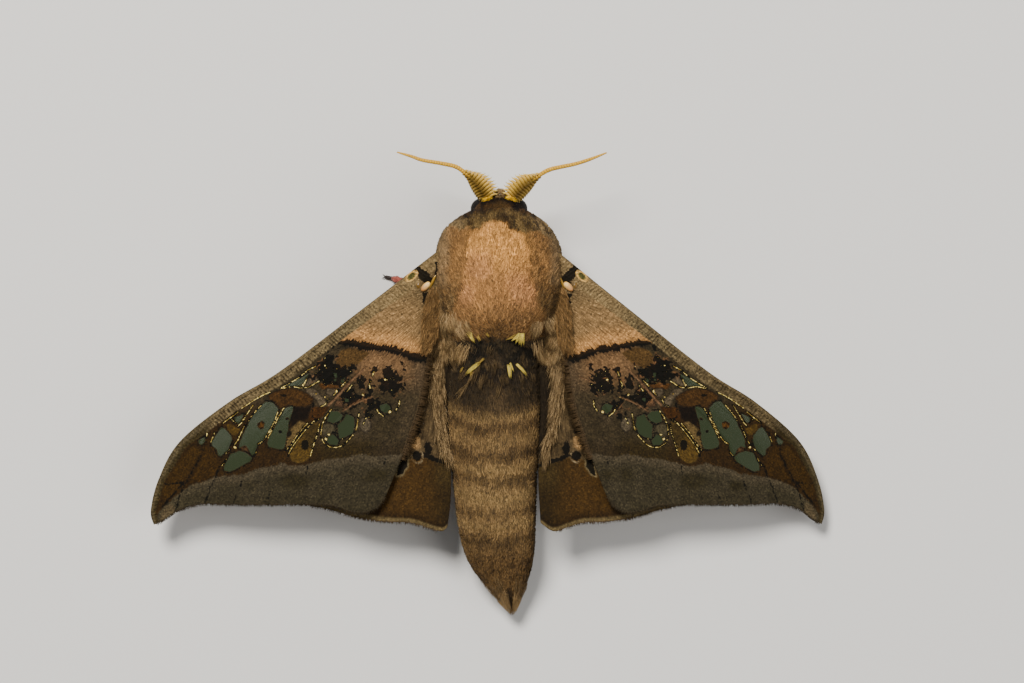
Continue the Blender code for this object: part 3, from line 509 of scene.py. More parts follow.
# Each dark fleck in the windows: its middle and its two radii
FLECKS = (((287, 419), 1.6, 1.1), ((280.5, 431.5), 1.6, 1.4), ((284, 395), 2.4, 1.6), ((305, 445), 3.8, 5.5),
          ((289.5, 434), 2.4, 3.0))
CELLS = (
    # a patch of the wing, its colour, and how dark its edge is
    (((338, 355), (341, 351), (349, 348), (361, 349), (370, 352.5), (364, 359), (358, 364), (349, 367),
      (341, 369.5), (335, 371), (336, 363)), (65, 47, 22), 0.0),
    (((318, 384), (326, 383), (336, 382), (343, 386), (334, 389), (322, 389)), (64, 40, 14), 0.3),
    (((309.5, 372.5), (314, 376), (319, 380), (312, 386), (303, 386), (307, 379)), (63, 54, 39), 0.3),
    (((306, 388), (315, 388.5), (321, 396), (327, 402), (324, 407), (319, 406), (315, 399), (310, 396),
      (305.5, 392)), (71, 61, 45), 0.7),
    (((327, 388), (337, 389), (339, 394), (332, 397), (326, 393)), (62, 53, 39), 0.8),
    (((336, 400), (346, 402), (342, 407), (334, 406)), (64, 46, 30), 0.4),
    (((312, 407), (322, 407), (330, 406.5), (324, 416), (320, 419), (312, 422), (308, 418)), (47, 27, 6), 0.2),
    (((294, 407), (304, 408), (311, 406), (308, 418), (300, 423), (291, 431), (291, 420)), (15, 8, 3), 0.2),
    (((289, 431), (293, 426), (300, 421), (308, 424), (303, 429), (298, 435), (291, 446), (286, 451),
      (285, 447)), (77, 62, 34), 0.5),
    (((268, 396), (274, 392), (282, 389), (292, 388), (302, 391), (308, 394), (314, 398), (311, 405),
      (304, 407), (298, 407), (292, 406), (289, 404.5), (284, 408), (279, 408), (276, 404), (270, 400)),
     (51, 33, 11), 0.8),
    (((319, 419.5), (313.5, 422), (306, 429), (298, 439), (291, 449), (288.5, 455.5), (292, 462), (298, 464.5),
      (306, 460.5), (311, 455.5), (313.5, 445), (317, 435), (319, 425)), (48, 37, 14), 0.5),
    (((300, 438), (304, 437), (310, 448), (312.5, 449), (311, 455.5), (306, 460.5), (298, 464), (292, 461.5),
      (289.5, 455.5), (292, 449.5)), (64, 48, 16), 0.0),
    (((322, 424), (333, 424), (336.5, 431), (333, 434), (326, 437.5), (322, 434)), (56, 50, 34), 0.5),
    (((362, 418), (367, 417), (371, 422), (371, 428), (366, 433), (361, 430), (359.5, 425)), (70, 61, 46), 0.8),
    (((256.5, 424), (261, 420.5), (265, 422.5), (264.5, 428), (260.5, 430), (257.5, 427.5)), (65, 41, 11), 0.6),
    (((226.5, 424.5), (231, 423.5), (235, 427), (240, 428), (239.5, 433), (235, 436), (230, 433.5), (226, 429)),
     (62, 46, 14), 0.4),
    (((241, 447), (245, 445.5), (249.5, 450), (249, 452.5), (243, 450.5)), (64, 44, 25), 0.3),
    (((192, 445.5), (199, 448), (202, 449), (197.5, 459), (191, 471), (185, 481), (180, 488), (170, 498),
      (161.5, 500), (162, 491), (168, 478), (175.5, 464.5), (182, 456.5)), (45, 30, 6), 0.3),
    (((204, 446), (210, 447.5), (214.5, 455), (218, 461.5), (220, 464), (216.5, 473), (212, 478.5),
      (199, 481.5), (188, 484.5), (192.5, 475.5), (199.5, 462)), (43, 28, 5), 0.3),
    (((166.5, 505.5), (172, 504), (175, 508), (172.5, 513), (165.5, 519.5), (159.5, 522.5), (162, 513)),
     (69, 59, 41), 0.0),
)
INK_LINES = (
    ((205, 446), (199, 459), (192, 472), (185.5, 483), (180, 494), (175.5, 509)),
    ((221, 464), (216.5, 474), (212, 484), (208, 494), (204.5, 503)), ((242, 481), (239, 489)),
    ((235.5, 495), (233, 504)), ((270, 491), (268, 498)), ((385, 459), (384, 464)), ((308, 466), (306, 474)),
    ((166, 484), (175, 484), (184, 482)), ((184, 482), (176, 491), (170, 498), (163, 506)),
    ((309, 400), (313, 404), (312, 416), (318, 421)), ((333, 432), (338, 433)), ((286, 396), (281, 394)),
    ((337, 425), (343, 431)), ((341, 424), (349, 427), (353, 424)), ((344, 430), (350, 434)),
)
# Each pale vein over the lace, and its half width
TAN_VEINS = (
    (((364, 369), (352, 380), (342, 391), (334, 400), (329, 405)), 1.0),
    (((372, 396.5), (361, 401), (352, 405), (343, 411)), 0.6), (((414, 377), (405, 380), (398, 383)), 0.5),
)
# How wide the costal strip is at places along the chart's x
STRIP_WIDTHS = ((150, 165, 185, 205, 240, 300, 340, 380, 416, 432), (4, 6, 8, 9.5, 12, 12, 12.5, 13, 15, 12))
ROOT_PATCHES = (
    ((411, 266), (416, 264.5), (421, 268), (428, 272), (432, 280), (429, 286), (424, 282), (419, 277), (414, 272)),
    ((422.5, 294), (429, 292.5), (434, 296), (431, 303.5), (424, 303)),
)
HIND_LINE = ((290, 474), (330, 470), (370, 466), (398, 461), (425, 457), (436, 459), (446, 462), (458, 465))
HIND_INK_LINE = ((424, 455), (435, 459), (446, 462.5), (458, 466))
HIND_WEDGE = ((408, 449), (407, 456), (406.5, 467), (402, 474), (397, 476), (398, 469), (402, 459))
HIND_PATCH = ((411, 439), (417, 435), (421, 438), (421, 447), (416, 450), (411, 449))
# Each dark spot at the hindwing's inner end: its middle and its two radii
HIND_SPOTS = ((417, 431, 4, 3.2), (428, 449, 3.4, 7.5), (417, 456, 4.6, 5.2))


def chart(points):
    """Where points in body millimetres show on the chart."""
    x, y, z = points[..., 0], points[..., 1], points[..., 2]
    near = CAMERA_HEIGHT / (CAMERA_HEIGHT - (z - WING_LEVEL)) / CHART_STEP
    return (VIEW_CENTRE[0] - (x - (CHART_X - VIEW_CENTRE[0]) * CHART_STEP) * near,
            VIEW_CENTRE[1] + (y - (VIEW_CENTRE[1] - CHART_Y) * CHART_STEP) * near)


def nearest(x, y, lines, half=0.0):
    """The distance to the nearest of several lines, less their half width."""
    best = np.full(x.shape, 99.0)
    for line in lines:
        best = np.minimum(best, to_line(x, y, line)[0])
    return best - half


def row_of(x, line):
    """The y of a line that runs across the chart."""
    line = sorted(line)
    return np.interp(x, [p[0] for p in line], [p[1] for p in line])


def to_dots(x, y, size, share, seed):
    """The distance to the nearest of many scattered dots, a share of one for each square of a size."""
    ix, iy = np.floor(x / size), np.floor(y / size)
    best = np.full(x.shape, 9.0)
    for dx in (-1, 0, 1):
        for dy in (-1, 0, 1):
            cx = (ix + dx + 0.15 + 0.7 * lattice(ix + dx, iy + dy, seed)) * size
            cy = (iy + dy + 0.15 + 0.7 * lattice(ix + dx, iy + dy, seed + 1)) * size
            there = lattice(ix + dx, iy + dy, seed + 2) < share
            best = np.where(there, np.minimum(best, np.hypot(x - cx, y - cy)), best)
    return best


def forewing_marks(x, y, seed, along, edge, down_costa):
    """The colour, the fields (window, relief, gold) and the inks (black, ripple) on the forewing's chart."""
    wx, wy = x + (grain(x, y, 6, seed) - 0.5) * 1.6, y + (grain(x, y, 6, seed + 3) - 0.5) * 1.6
    fine, cloud = grain(x, y, 1.7, seed + 9), grain(x, y, 24, seed + 5, 3)
    inner_y, post_y = row_of(wx, INNER_LINE + INNER_START[:1]), row_of(wx, POST_LINE)
    fuzz = (grain(x, y * 0.35, 1.0, seed + 15, 1) - 0.5) * 2.6
    post_y = post_y + fuzz * 0.8
    # the ground colours between the lines
    colour = blend(tone(41, 34, 20), tone(53, 44, 30), smoothstep(0.42, 0.75, cloud) * 0.6)
    colour = paint(
        colour, ((52, 43, 28), smoothstep(392, 420, wx) * smoothstep(448, 425, wy) * 0.8),
        ((41, 32, 10), smoothstep(22, 6, post_y - wy) * smoothstep(390, 350, wx)),
        ((30, 22, 8), smoothstep(18, 4, post_y - wy) * 0.5),
        ((37, 24, 6), smoothstep(330, 305, wx) * smoothstep(395, 420, wy)))
    pink = smoothstep(398, 362, wy) * smoothstep(346, 366, wx) * smoothstep(432, 398, wx)
    colour = paint(
        colour, ((103, 77, 50), pink * (0.85 + 0.5 * (fine - 0.5))),
        ((71, 57, 40), smoothstep(400, 375, wy) * smoothstep(398, 425, wx) * 0.7))
    base = blend(tone(126, 99, 64), tone(171, 124, 72), smoothstep(26, 4, inner_y - wy))
    base = paint(
        base, ((107, 88, 59), smoothstep(318, 290, wy)),
        ((95, 79, 53), smoothstep(408, 430, wx) * 0.6))
    colour = blend(colour, base, smoothstep(-1, 1, inner_y - wy))
    band = blend(tone(43, 38, 25), tone(62, 54, 40), smoothstep(13, 1, wy - post_y) * 0.75)
    for cx, cy, rx, ry in ((374, 475, 20, 8), (295, 481, 17, 9), (250, 486, 9, 6)):
        band = blend(band, tone(31, 26, 9), smoothstep(1.25, 0.4, np.hypot((wx - cx) / rx, (wy - cy) / ry)) * 0.7)
    band = paint(
        band, ((53, 47, 34), smoothstep(0.45, 0.75, grain(x, y, 13, seed + 31)) * 0.4),
        ((51, 46, 31), smoothstep(215, 180, wx) * 0.5))
    colour = blend(colour, band, smoothstep(-0.6, 0.6, wy - post_y))
    # the coloured cells between the windows
    ink = np.full(x.shape, 9.0)
    for patch, shade, rim in CELLS:
        d = to_patch(wx, wy, patch)
        fill = tone(*shade) * (0.8 + 0.4 * fine)[..., None]
        colour = blend(colour, fill, smoothstep(0.6, -0.6, d))
        colour = blend(colour, tone(7, 3, 3), smoothstep(1.3, 0.3, np.abs(d)) * rim * 0.7)
    # the black lace, lobed and broken
    lobes = (grain(x, y, 4.4, seed + 41) - 0.5) * 7.0 + (grain(x, y, 2.0, seed + 43, 1) - 0.5) * 4.6
    lace = np.full(x.shape, 9.0)
    for patch in LACE:
        lace = np.minimum(lace, to_patch(wx, wy, patch) + lobes)
    island = grain(x, y, 3.1, seed + 45, 1)
    ink = np.minimum(ink, lace + smoothstep(0.72, 0.8, island) * 4)
    near_lace = smoothstep(2.5, -0.5, lace)
    colour = blend(colour, tone(96, 66, 40), smoothstep(0.5, 0.9, grain(x, y, 4.0, seed + 49)) * near_lace)
    # the windows
    window = np.full(x.shape, 9.0)
    for patch in WINDOWS:
        window = np.minimum(window, to_patch(wx, wy, patch))
    for (cx, cy), rx, ry in FLECKS:
        d = (np.hypot((wx - cx) / rx, (wy - cy) / ry) - 1) * min(rx, ry)
        ink = np.minimum(ink, d)
        window = np.maximum(window, 0.2 - d)
    for patch, _, _ in CELLS:
        window = np.maximum(window, -0.2 - to_patch(wx, wy, patch))
    ink = np.minimum(ink, np.abs(window - 0.9) - 0.55 + (fine - 0.5))
    # the dark lines
    ragged = (grain(x, y, 2.4, seed + 21, 1) - 0.5) * 2.6
    from_line, along_line = to_line(wx, wy, INNER_LINE)
    hairs = (grain(along_line + (wy - inner_y) * 0.35, from_line * 0.3, 1.1, seed + 25, 1) - 0.5) * 5.0
    ink = np.minimum(ink, from_line - 3.4 + hairs * 0.95 + ragged * 0.3)
    colour = colour * (1 - 0.5 * smoothstep(8.5, 2.5, from_line + hairs))[..., None]
    ink = np.minimum(ink, nearest(wx, wy, [INNER_START], 1.2) + ragged * 1.6)
    ink = np.minimum(ink, np.abs(wy - post_y + 1.2) - 1.1 + ragged * 0.6 + smoothstep(408, 398, wx) * 9)
    ink = np.minimum(ink, nearest(wx, wy, INK_LINES, 0.75) + ragged * 0.3)
    mottle = smoothstep(11, 3, np.hypot((wx - 331) / 1.7, wy - 348))
    ink = np.minimum(ink, 8 - mottle * 7.0 + (grain(x, y, 2.6, seed + 47, 1) - 0.5) * 7 * mottle)
    # the veins and the gold beads
    relief = np.zeros(x.shape)
    for vein, half in TAN_VEINS:
        d, _ = to_line(x, y, vein)
        mask = smoothstep(half + 0.6, half - 0.4, d)
        colour = blend(colour, tone(89, 66, 45), mask)
        relief += mask * 0.7
        ink = np.maximum(ink, (half + 0.5) - d)
        window = np.maximum(window, (half + 0.5) - d)
    # Scattered gold specks by the lace: painted glints of single gold scales.
    gold = to_dots(x, y, 3.6, 0.34, seed + 61) * 1.3 + 0.1 + (1 - near_lace) * 9
    for line in GOLD_LINES:
        d, along_line = to_line(x + fuzz * 0.15, y, line)
        broken = smoothstep(0.52, 0.78, grain(along_line, 0 * d + line[0][0], 3.2, seed + 63)) * 0.5
        gold = np.minimum(gold, d * 1.25 + 0.06 + broken)
        ink = np.minimum(ink, d - 1.1 + (fine - 0.5) * 1.6)
    for cx, cy, size in PALE_DOTS:
        gold = np.minimum(gold, np.hypot(x - cx, y - cy) - size + 0.7)
    relief += smoothstep(1.3, 0.3, gold)
    window = np.maximum(window, 1.3 - gold)
    colour = colour * (0.84 + 0.2 * grain(x, y, 1.2, seed + 91, 1) + 0.12 * grain(x, y, 5, seed + 93))[..., None]
    # the costal strip, with its cross ripples
    width = np.interp(x, *STRIP_WIDTHS)
    strip = smoothstep(0.8, -0.8, edge - width + (fine - 0.5) * 1.5)
    dull = smoothstep(216, 200, x)
    strip_colour = blend(tone(98, 84, 57), tone(71, 62, 42), dull)
    strip_colour = paint(
        strip_colour, ((123, 102, 68), smoothstep(345, 385, x) * 0.75),
        ((48, 40, 20), smoothstep(0.3, 0.7, edge / width) * dull))
    ripple = np.sin(down_costa * 1.85 + edge * 0.35 + grain(x, y, 8, seed + 71) * 5)
    tick = ripple + (grain(x, y, 2.2, seed + 75, 1) - 0.5) * 2.0
    strength = smoothstep(0.5, 3.5, edge) * (1 - 0.45 * smoothstep(345, 300, y)) * (1 - 0.8 * dull)
    strip_colour = paint(
        strip_colour, ((26, 18, 6), smoothstep(-0.25, -0.7, tick) * 0.85 * strength),
        ((58, 49, 30), smoothstep(1.6, 0.2, edge) * 0.6))
    colour = blend(colour, strip_colour, strip)
    ink = np.where(strip > 0.5, np.maximum(ink, 1.0), ink)
    basal = smoothstep(0, 8, inner_y - wy) * (1 - strip)
    soft = np.sin(down_costa * 1.3 + np.maximum(0, edge - 12) * 0.12 + grain(x, y, 14, seed + 81) * 8)
    colour = blend(colour, tone(72, 54, 32), smoothstep(0.3, 0.95, soft) * basal * smoothstep(60, 14, edge) * 0.5)
    # the root: black patches, and a pale ring on the costa
    for patch in ROOT_PATCHES:
        ink = np.minimum(ink, to_patch(wx, wy, patch) - 0.6 + ragged)
    ink = np.minimum(ink, nearest(wx, wy, [((436, 262), (437, 270), (436, 276))], 1.1))
    dx, dy = x - 411.5, y - 276
    cosine, sine = math.cos(math.radians(38)), math.sin(math.radians(38))
    ring = np.hypot((dx * cosine - dy * sine) / 6.2, (dx * sine + dy * cosine) / 3.4)
    colour = paint(
        colour, ((77, 73, 36), smoothstep(1.0, 0.7, ring)),
        ((192, 151, 82), smoothstep(0.32, 0.12, np.abs(ring - 1.0))))
    ink = np.where(ring < 1.35, 2.0, ink)
    relief += smoothstep(0.3, 0.1, np.abs(ring - 1.0)) * 0.8 + smoothstep(0.2, 0.9, ripple) * strip * 0.3
    hairy = smoothstep(-2, 3, inner_y - wy) * 0.85 + pink * 0.45 * smoothstep(0, -3, inner_y - wy)
    hairy = np.maximum(hairy * (1 - strip * 0.85), 0.12)
    return colour, np.stack([window, relief, gold], -1), np.stack([ink, tick * strip, hairy], -1)


def hindwing_marks(x, y, seed, along, edge, down_costa):
    """The colour, the fields and the inks on the hindwing's chart."""
    wx, wy = x + (grain(x, y, 6, seed) - 0.5) * 2.2, y + (grain(x, y, 6, seed + 3) - 0.5) * 2.2
    fine = grain(x, y, 1.8, seed + 9)
    colour = blend(tone(68, 55, 35), tone(44, 34, 18), smoothstep(0.45, 0.8, grain(x, y, 14, seed + 5)) * 0.6)
    line_y = row_of(wx, HIND_LINE)
    rust = blend(tone(54, 37, 12), tone(36, 26, 8), smoothstep(415, 452, wx))
    rust = blend(rust, tone(49, 38, 16), smoothstep(428, 447, wx) * smoothstep(498, 474, wy))
    rust = rust * (0.8 + 0.4 * fine)[..., None]
    colour = blend(colour, rust, smoothstep(-1, 2, wy - line_y))
    ragged = (grain(x, y, 2.2, seed + 21, 1) - 0.5) * 2
    ink = nearest(wx, wy, [HIND_INK_LINE], 2.0) + ragged
    wedge = to_patch(wx, wy, HIND_WEDGE)
    colour = blend(colour, tone(89, 77, 52), smoothstep(2.2, 0.9, wedge))
    ink = np.minimum(ink, wedge)
    patch = to_patch(wx, wy, HIND_PATCH)
    colour = blend(colour, tone(132, 103, 66), smoothstep(1, -1.5, patch))
    for cx, cy, rx, ry in HIND_SPOTS:
        d = (np.hypot((wx - cx) / rx, (wy - cy) / ry) - 1) * min(rx, ry)
        ink = np.minimum(ink, d)
    ring = np.hypot(wx - 417.0, wy - 456.5)
    below = smoothstep(-2, 4, (wx - 417) * 0.8 + (wy - 456.5) * 0.6)
    crescent = smoothstep(1.0, 0.2, np.abs(ring - 6.3)) * below * smoothstep(0.3, 0.6, fine)
    colour = blend(colour, tone(118, 104, 78), crescent)
    ink = np.where(crescent > 0.25, np.maximum(ink, 0.8), ink)
    # Painted shadow: the hindwing near the body, above its line, is darkened almost to black for the shade between
    # the wing hair and the abdomen.
    colour = blend(colour, tone(17, 12, 6), smoothstep(440, 447, wx) * smoothstep(0, -8, wy - line_y) * 0.85)
    rim = 1 - along
    colour = paint(
        colour, ((20, 11, 3), smoothstep(0.07, 0.02, rim) * 0.7),
        ((85, 72, 46), smoothstep(0.026, 0.014, rim)))
    far = np.full(x.shape, 9.0)
    hairy = 0.25 + 0.5 * smoothstep(398, 425, wx) * smoothstep(0, -6, wy - line_y)
    return colour, np.stack([far, 0 * x, far], -1), np.stack([ink, 0 * x, hairy], -1)


LOWER_STEP = 4  # the lower face has one point for every four of the upper face, along and across


def make_wing(name, margins, veins, marks, side, layer, material, sizes, thick_root):
    """A thin wing: a finely divided upper face with raised veins, a coarser lower face and a closed rim."""
    rows, columns = sizes
    along, across = np.linspace(0, 1, rows + 1), np.linspace(0, 1, columns + 1)
    flat = wing_sheet(*margins, along, across)
    x, y = flat[..., 0], flat[..., 1]
    rise = np.zeros(x.shape)
    reach = np.linalg.norm(np.gradient(flat, axis=1), axis=-1) * columns
    for crest, start in veins:
        d = np.abs(across[None, :] - crest) * reach
        rise = np.maximum(rise, smoothstep(0.24, 0.03, d) * smoothstep(start - 0.02, start + 0.04, along)[:, None])
    root = np.maximum(0, 1 - along / 0.3)[:, None] ** 2
    edge = np.minimum(np.minimum(along, 1 - along)[:, None] * 30, np.minimum(across, 1 - across)[None, :] * 22)
    body = smoothstep(-0.4, 1.0, edge)
    top = layer + 0.1 * body + rise * 0.09 + (root * 0.75 * thick_root)
    seed = 11 if side > 0 else 23
    chart_x, chart_y = chart(wing_place(x, y, 1, top))
    shares = np.broadcast_to(along[:, None], x.shape)
    costa_x, costa_y = chart(wing_place(*np.array(margins[0]).T, 1, layer))
    edge, down_costa = to_line(chart_x, chart_y, list(zip(costa_x, costa_y)))
    colour, fields, inks = marks(chart_x, chart_y, seed, shares, edge, down_costa)
    fields[..., 1] += rise * 0.6
    upper = wing_place(x, y, side, top)
    some = (slice(None, None, LOWER_STEP), slice(None, None, LOWER_STEP))
    under = layer - 0.08 * body[some] - root[::LOWER_STEP] * 0.35
    lower = wing_place(x[some], y[some], side, under)
    under_colour = blend(colour[some], tone(140, 116, 92), np.full(under.shape, 0.45))
    grid = np.arange(x.size).reshape(x.shape)
    low_grid = x.size + np.arange(x[some].size).reshape(x[some].shape)
    flip = side < 0

    def both(above, below):
        return np.concatenate([above.reshape(-1, 3), below.reshape(-1, 3)])

    def quads(g, turned):
        q = np.stack([g[:-1, :-1], g[:-1, 1:], g[1:, 1:], g[1:, :-1]], -1).reshape(-1, 4)
        return q[:, ::-1] if turned else q

    faces = np.concatenate([quads(grid, flip), quads(low_grid, not flip)])
    faces = [tuple(f) for f in faces]
    rims = [(grid[0], low_grid[0], False), (grid[-1], low_grid[-1], True), (grid[:, 0], low_grid[:, 0], True),
            (grid[:, -1], low_grid[:, -1], False)]
    for fine_edge, coarse_edge, turned in rims:
        for k in range(len(coarse_edge) - 1):
            fine_run = fine_edge[LOWER_STEP * k:LOWER_STEP * (k + 1) + 1]
            half = LOWER_STEP // 2
            d, e = coarse_edge[k], coarse_edge[k + 1]
            ring = [(fine_run[i], fine_run[i + 1], d) for i in range(half)] + [(fine_run[half], e, d)]
            ring += [(fine_run[i], fine_run[i + 1], e) for i in range(half, LOWER_STEP)]
            if turned != flip:
                ring = [t[::-1] for t in ring]
            faces += [t[::-1] for t in ring]
    place = np.stack([x, y, np.zeros(x.shape)], -1)
    return new_object(name, both(upper, lower), faces, material, {"marks": both(colour, under_colour)},
                      {"chart": both(place, place[some]), "fields": both(fields, fields[some]),
                       "inks": both(inks, inks[some])})


fore_material = wing_material("forewing scales", 0.12, 0.85)
hind_material = wing_material("hindwing scales", 0.13, 0.75)
for side_name, side in SIDES.items():
    wing = make_wing("forewing_scales_" + side_name, (COSTA, OUTER_MARGIN, INNER_MARGIN), FORE_VEINS,
                     forewing_marks, side, 0.0, fore_material, (304, 204), 1.0)
    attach(wing, "root")
    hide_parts("forewing_" + side_name)
    inner = HIND_INNER[side]
    wing = make_wing("hindwing_scales_" + side_name, (HIND_COSTA, HIND_OUTER + (inner[-1],), inner), HIND_VEINS,
                     hindwing_marks, side, -HIND_LAYER, hind_material, (180, 128), 0.0)
    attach(wing, "root")
    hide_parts("hindwing_" + side_name)


# The body: one skin from the face to the tail, with the fur on it
# Each section: y, middle x, half width, highest z, lowest z
BODY_SECTIONS = (
    (-18.02, -0.15, 0.5, 6.1, 4.9), (-17.8, -0.15, 1.15, 7.0, 4.2), (-17.45, -0.15, 1.65, 8.0, 3.6),
    (-17.1, -0.15, 1.95, 8.8, 3.35), (-16.6, -0.15, 2.45, 9.5, 3.3), (-15.8, -0.1, 3.8, 10.2, 3.5),
    (-14.8, -0.05, 4.95, 10.8, 3.5), (-13.3, -0.1, 5.7, 11.4, 3.1), (-11.8, -0.15, 5.95, 11.7, 2.9),
    (-9.5, -0.15, 5.95, 11.9, 2.9), (-7.0, -0.1, 5.5, 11.6, 2.95), (-5.2, 0.05, 4.85, 10.8, 3.0),
    (-3.4, 0.15, 4.3, 9.9, 2.9), (-1.8, 0.25, 4.15, 9.3, 2.7), (0.0, 0.3, 4.3, 9.2, 2.4),
    (2.0, 0.35, 4.4, 9.25, 2.1), (5.5, 0.35, 4.25, 9.0, 1.75), (9.0, 0.26, 3.88, 8.4, 1.55),
    (13.2, 0.1, 3.6, 7.4, 1.35), (15.6, -0.12, 3.3, 6.4, 1.25), (17.6, -0.4, 2.7, 5.1, 1.2),
    (19.4, -0.85, 1.7, 3.8, 1.25), (20.6, -1.15, 0.85, 2.95, 1.45), (21.3, -1.35, 0.4, 2.4, 1.75),
    (21.6, -1.4, 0.1, 2.15, 2.0),
)
SKIN_ROWS, SKIN_COLUMNS = 190, 112


def skin_grid():
    """The skin's points in rings along the body, each from the belly round the moth's right side and back."""
    fine = through(BODY_SECTIONS, np.linspace(0, 1, 1200))
    step = np.hypot(np.diff(fine[:, 0]), np.diff(fine[:, 2])) + np.abs(np.diff(fine[:, 3])) * 0.35
    walked = np.r_[0, np.cumsum(step)]
    share = np.linspace(0, 1, SKIN_ROWS)
    rows = np.stack([np.interp(share * walked[-1], walked, fine[:, k]) for k in range(5)], -1)
    y, mid, half, high, low = rows.T[:, :, None]
    angle = np.linspace(-math.pi, math.pi, SKIN_COLUMNS, endpoint=False)[None, :]
    sine, cosine = np.sin(angle), np.cos(angle)
    power = 0.94
    x = mid + half * np.sign(sine) * np.abs(sine) ** power
    z = (high + low) / 2 + (high - low) / 2 * np.sign(cosine) * np.abs(cosine) ** power
    return np.stack([x, y + 0 * angle, z], -1), np.broadcast_to(share[:, None], x.shape), angle + 0 * x


def bands(py, places, soft):
    """1 inside any of the ranges of the chart's y and 0 outside, with soft ends."""
    mask = np.zeros(py.shape)
    for low, high in places:
        mask = np.maximum(mask, smoothstep(low - soft, low + soft, py) * smoothstep(high + soft, high - soft, py))
    return mask


def spot(px, py, centre, size, soft=0.5):
    """1 in the middle of an oval spot on the chart and 0 outside it."""
    away = np.hypot((px - centre[0]) / size[0], (py - centre[1]) / size[1])
    return smoothstep(1 + soft, 1 - soft, away)


# The body's markings: the seams beside the back of the thorax, and the ruff's and the collar's lower edges
SEAM_ROWS = (227, 252, 280, 300, 320)
LEFT_SEAM, RIGHT_SEAM = (471, 467, 464, 458, 452), (524, 528.7, 534, 538, 545)
RUFF_EDGE = ((440, 448, 468, 476, 482, 488, 500, 508, 515, 524, 532, 540, 552),
             (236, 229, 228.5, 230, 226, 223, 223, 224, 230, 234, 230, 232, 242))
COLLAR_EDGE = ((0, 10, 20, 30, 38), (209.5, 211, 214.5, 219, 221))
# The abdomen's light and dark bands, from one place along the chart to another
LIGHT_BANDS = ((413, 421), (437, 446), (465, 472), (491, 505), (522, 531))
DARK_BANDS = ((425, 433), (451, 461), (476, 486), (509, 517), (536, 546))


def thorax_marks(px, py, wx, wy, turn):
    """The thorax's colour: from a place on the chart, the same place shaken a little, and its turn from the top."""
    side = np.abs(wx - 500)
    colour = blend(tone(190, 137, 80), tone(232, 168, 90), spot(wx, wy, (500, 246), (34, 24)))
    for centre, size in (((480, 265), (12, 14)), ((520, 290), (10, 16)), ((466, 296), (8, 12)),
                         ((533, 298), (7, 12))):
        colour = blend(colour, tone(210, 150, 100), spot(wx, wy, centre, size) * 0.5)
    colour = paint(
        colour, ((141, 104, 61), smoothstep(288, 320, wy)),
        ((66, 46, 18), spot(wx, wy, (493, 331), (9, 5), 0.9) * 0.7),
        ((92, 68, 34), smoothstep(326, 337, wy) * 0.6))
    # the tegulae, beyond the seams
    outer = np.maximum(np.interp(wy, SEAM_ROWS, LEFT_SEAM) - wx, wx - np.interp(wy, SEAM_ROWS, RIGHT_SEAM))
    colour = paint(
        colour, ((156, 115, 67), smoothstep(-4, 6, outer) * 0.9),
        ((150, 119, 78), smoothstep(12, 26, outer) * smoothstep(276, 250, wy) * 0.6),
        ((112, 86, 50), smoothstep(-2, 5, outer) * smoothstep(266, 304, wy)))
    streaks = grain(px + py * 0.3 * np.sign(px - 500), py * 0.2, 2.2, 45)
    colour = paint(
        colour, ((74, 54, 27), smoothstep(0.5, 0.75, streaks) * smoothstep(0, 6, outer)
                 * smoothstep(262, 290, wy) * 0.55),
        ((168, 138, 94), smoothstep(0.45, 0.2, streaks) * smoothstep(0, 6, outer)
         * smoothstep(262, 290, wy) * 0.5))
    # Painted shadow: a dark spot at each rear flank of the thorax, for the wing's shade falling there.
    for middle in (440, 560):
        colour = blend(colour, tone(53, 36, 12), spot(wx, wy, (middle, 322), (6, 10), 0.9) * 0.5)
    seam = smoothstep(3.0, 0.5, np.abs(outer)) * smoothstep(226, 236, wy) * smoothstep(314, 292, wy)
    colour = paint(
        colour, ((76, 54, 24), seam * 0.6 * smoothstep(0.35, 0.65, grain(px, py, 7, 39))),
        ((160, 136, 100), smoothstep(46, 56, side) * bands(wy, ((234, 286),), 6) * 0.5),
        ((107, 88, 56), smoothstep(1.1, 1.6, turn)))
    # the ruff and the dark collar
    ruff = smoothstep(2.0, -2.0, wy - np.interp(wx, *RUFF_EDGE))
    ruff_tone = blend(tone(113, 91, 54), tone(136, 113, 76), smoothstep(26, 40, side))
    ruff_hair = grain(px + (py - 215) * np.sign(500 - px) * 0.7, py * 0.45, 2.6, 41)
    ruff_tone = blend(ruff_tone, tone(54, 37, 15), smoothstep(0.48, 0.7, ruff_hair) * 0.75)
    colour = blend(colour, ruff_tone, ruff)
    cleft = np.abs(px - 503 - (py - 212) * 0.5) - 1.8
    colour = blend(colour, tone(41, 26, 9), smoothstep(1.5, -0.5, cleft) * bands(py, ((214, 231),), 2) * 0.75)
    collar = smoothstep(3, -3, wy - np.interp(side, *COLLAR_EDGE)) * smoothstep(44, 33, side)
    dark = blend(tone(80, 56, 27), tone(25, 15, 8), smoothstep(0.3, 0.65, grain(px, py * 0.6, 3.2, 33)))
    colour = blend(colour, dark, collar)
    return blend(colour, tone(112, 84, 44), spot(px, py, (500, 207), (6, 4), 0.9) * 0.6)


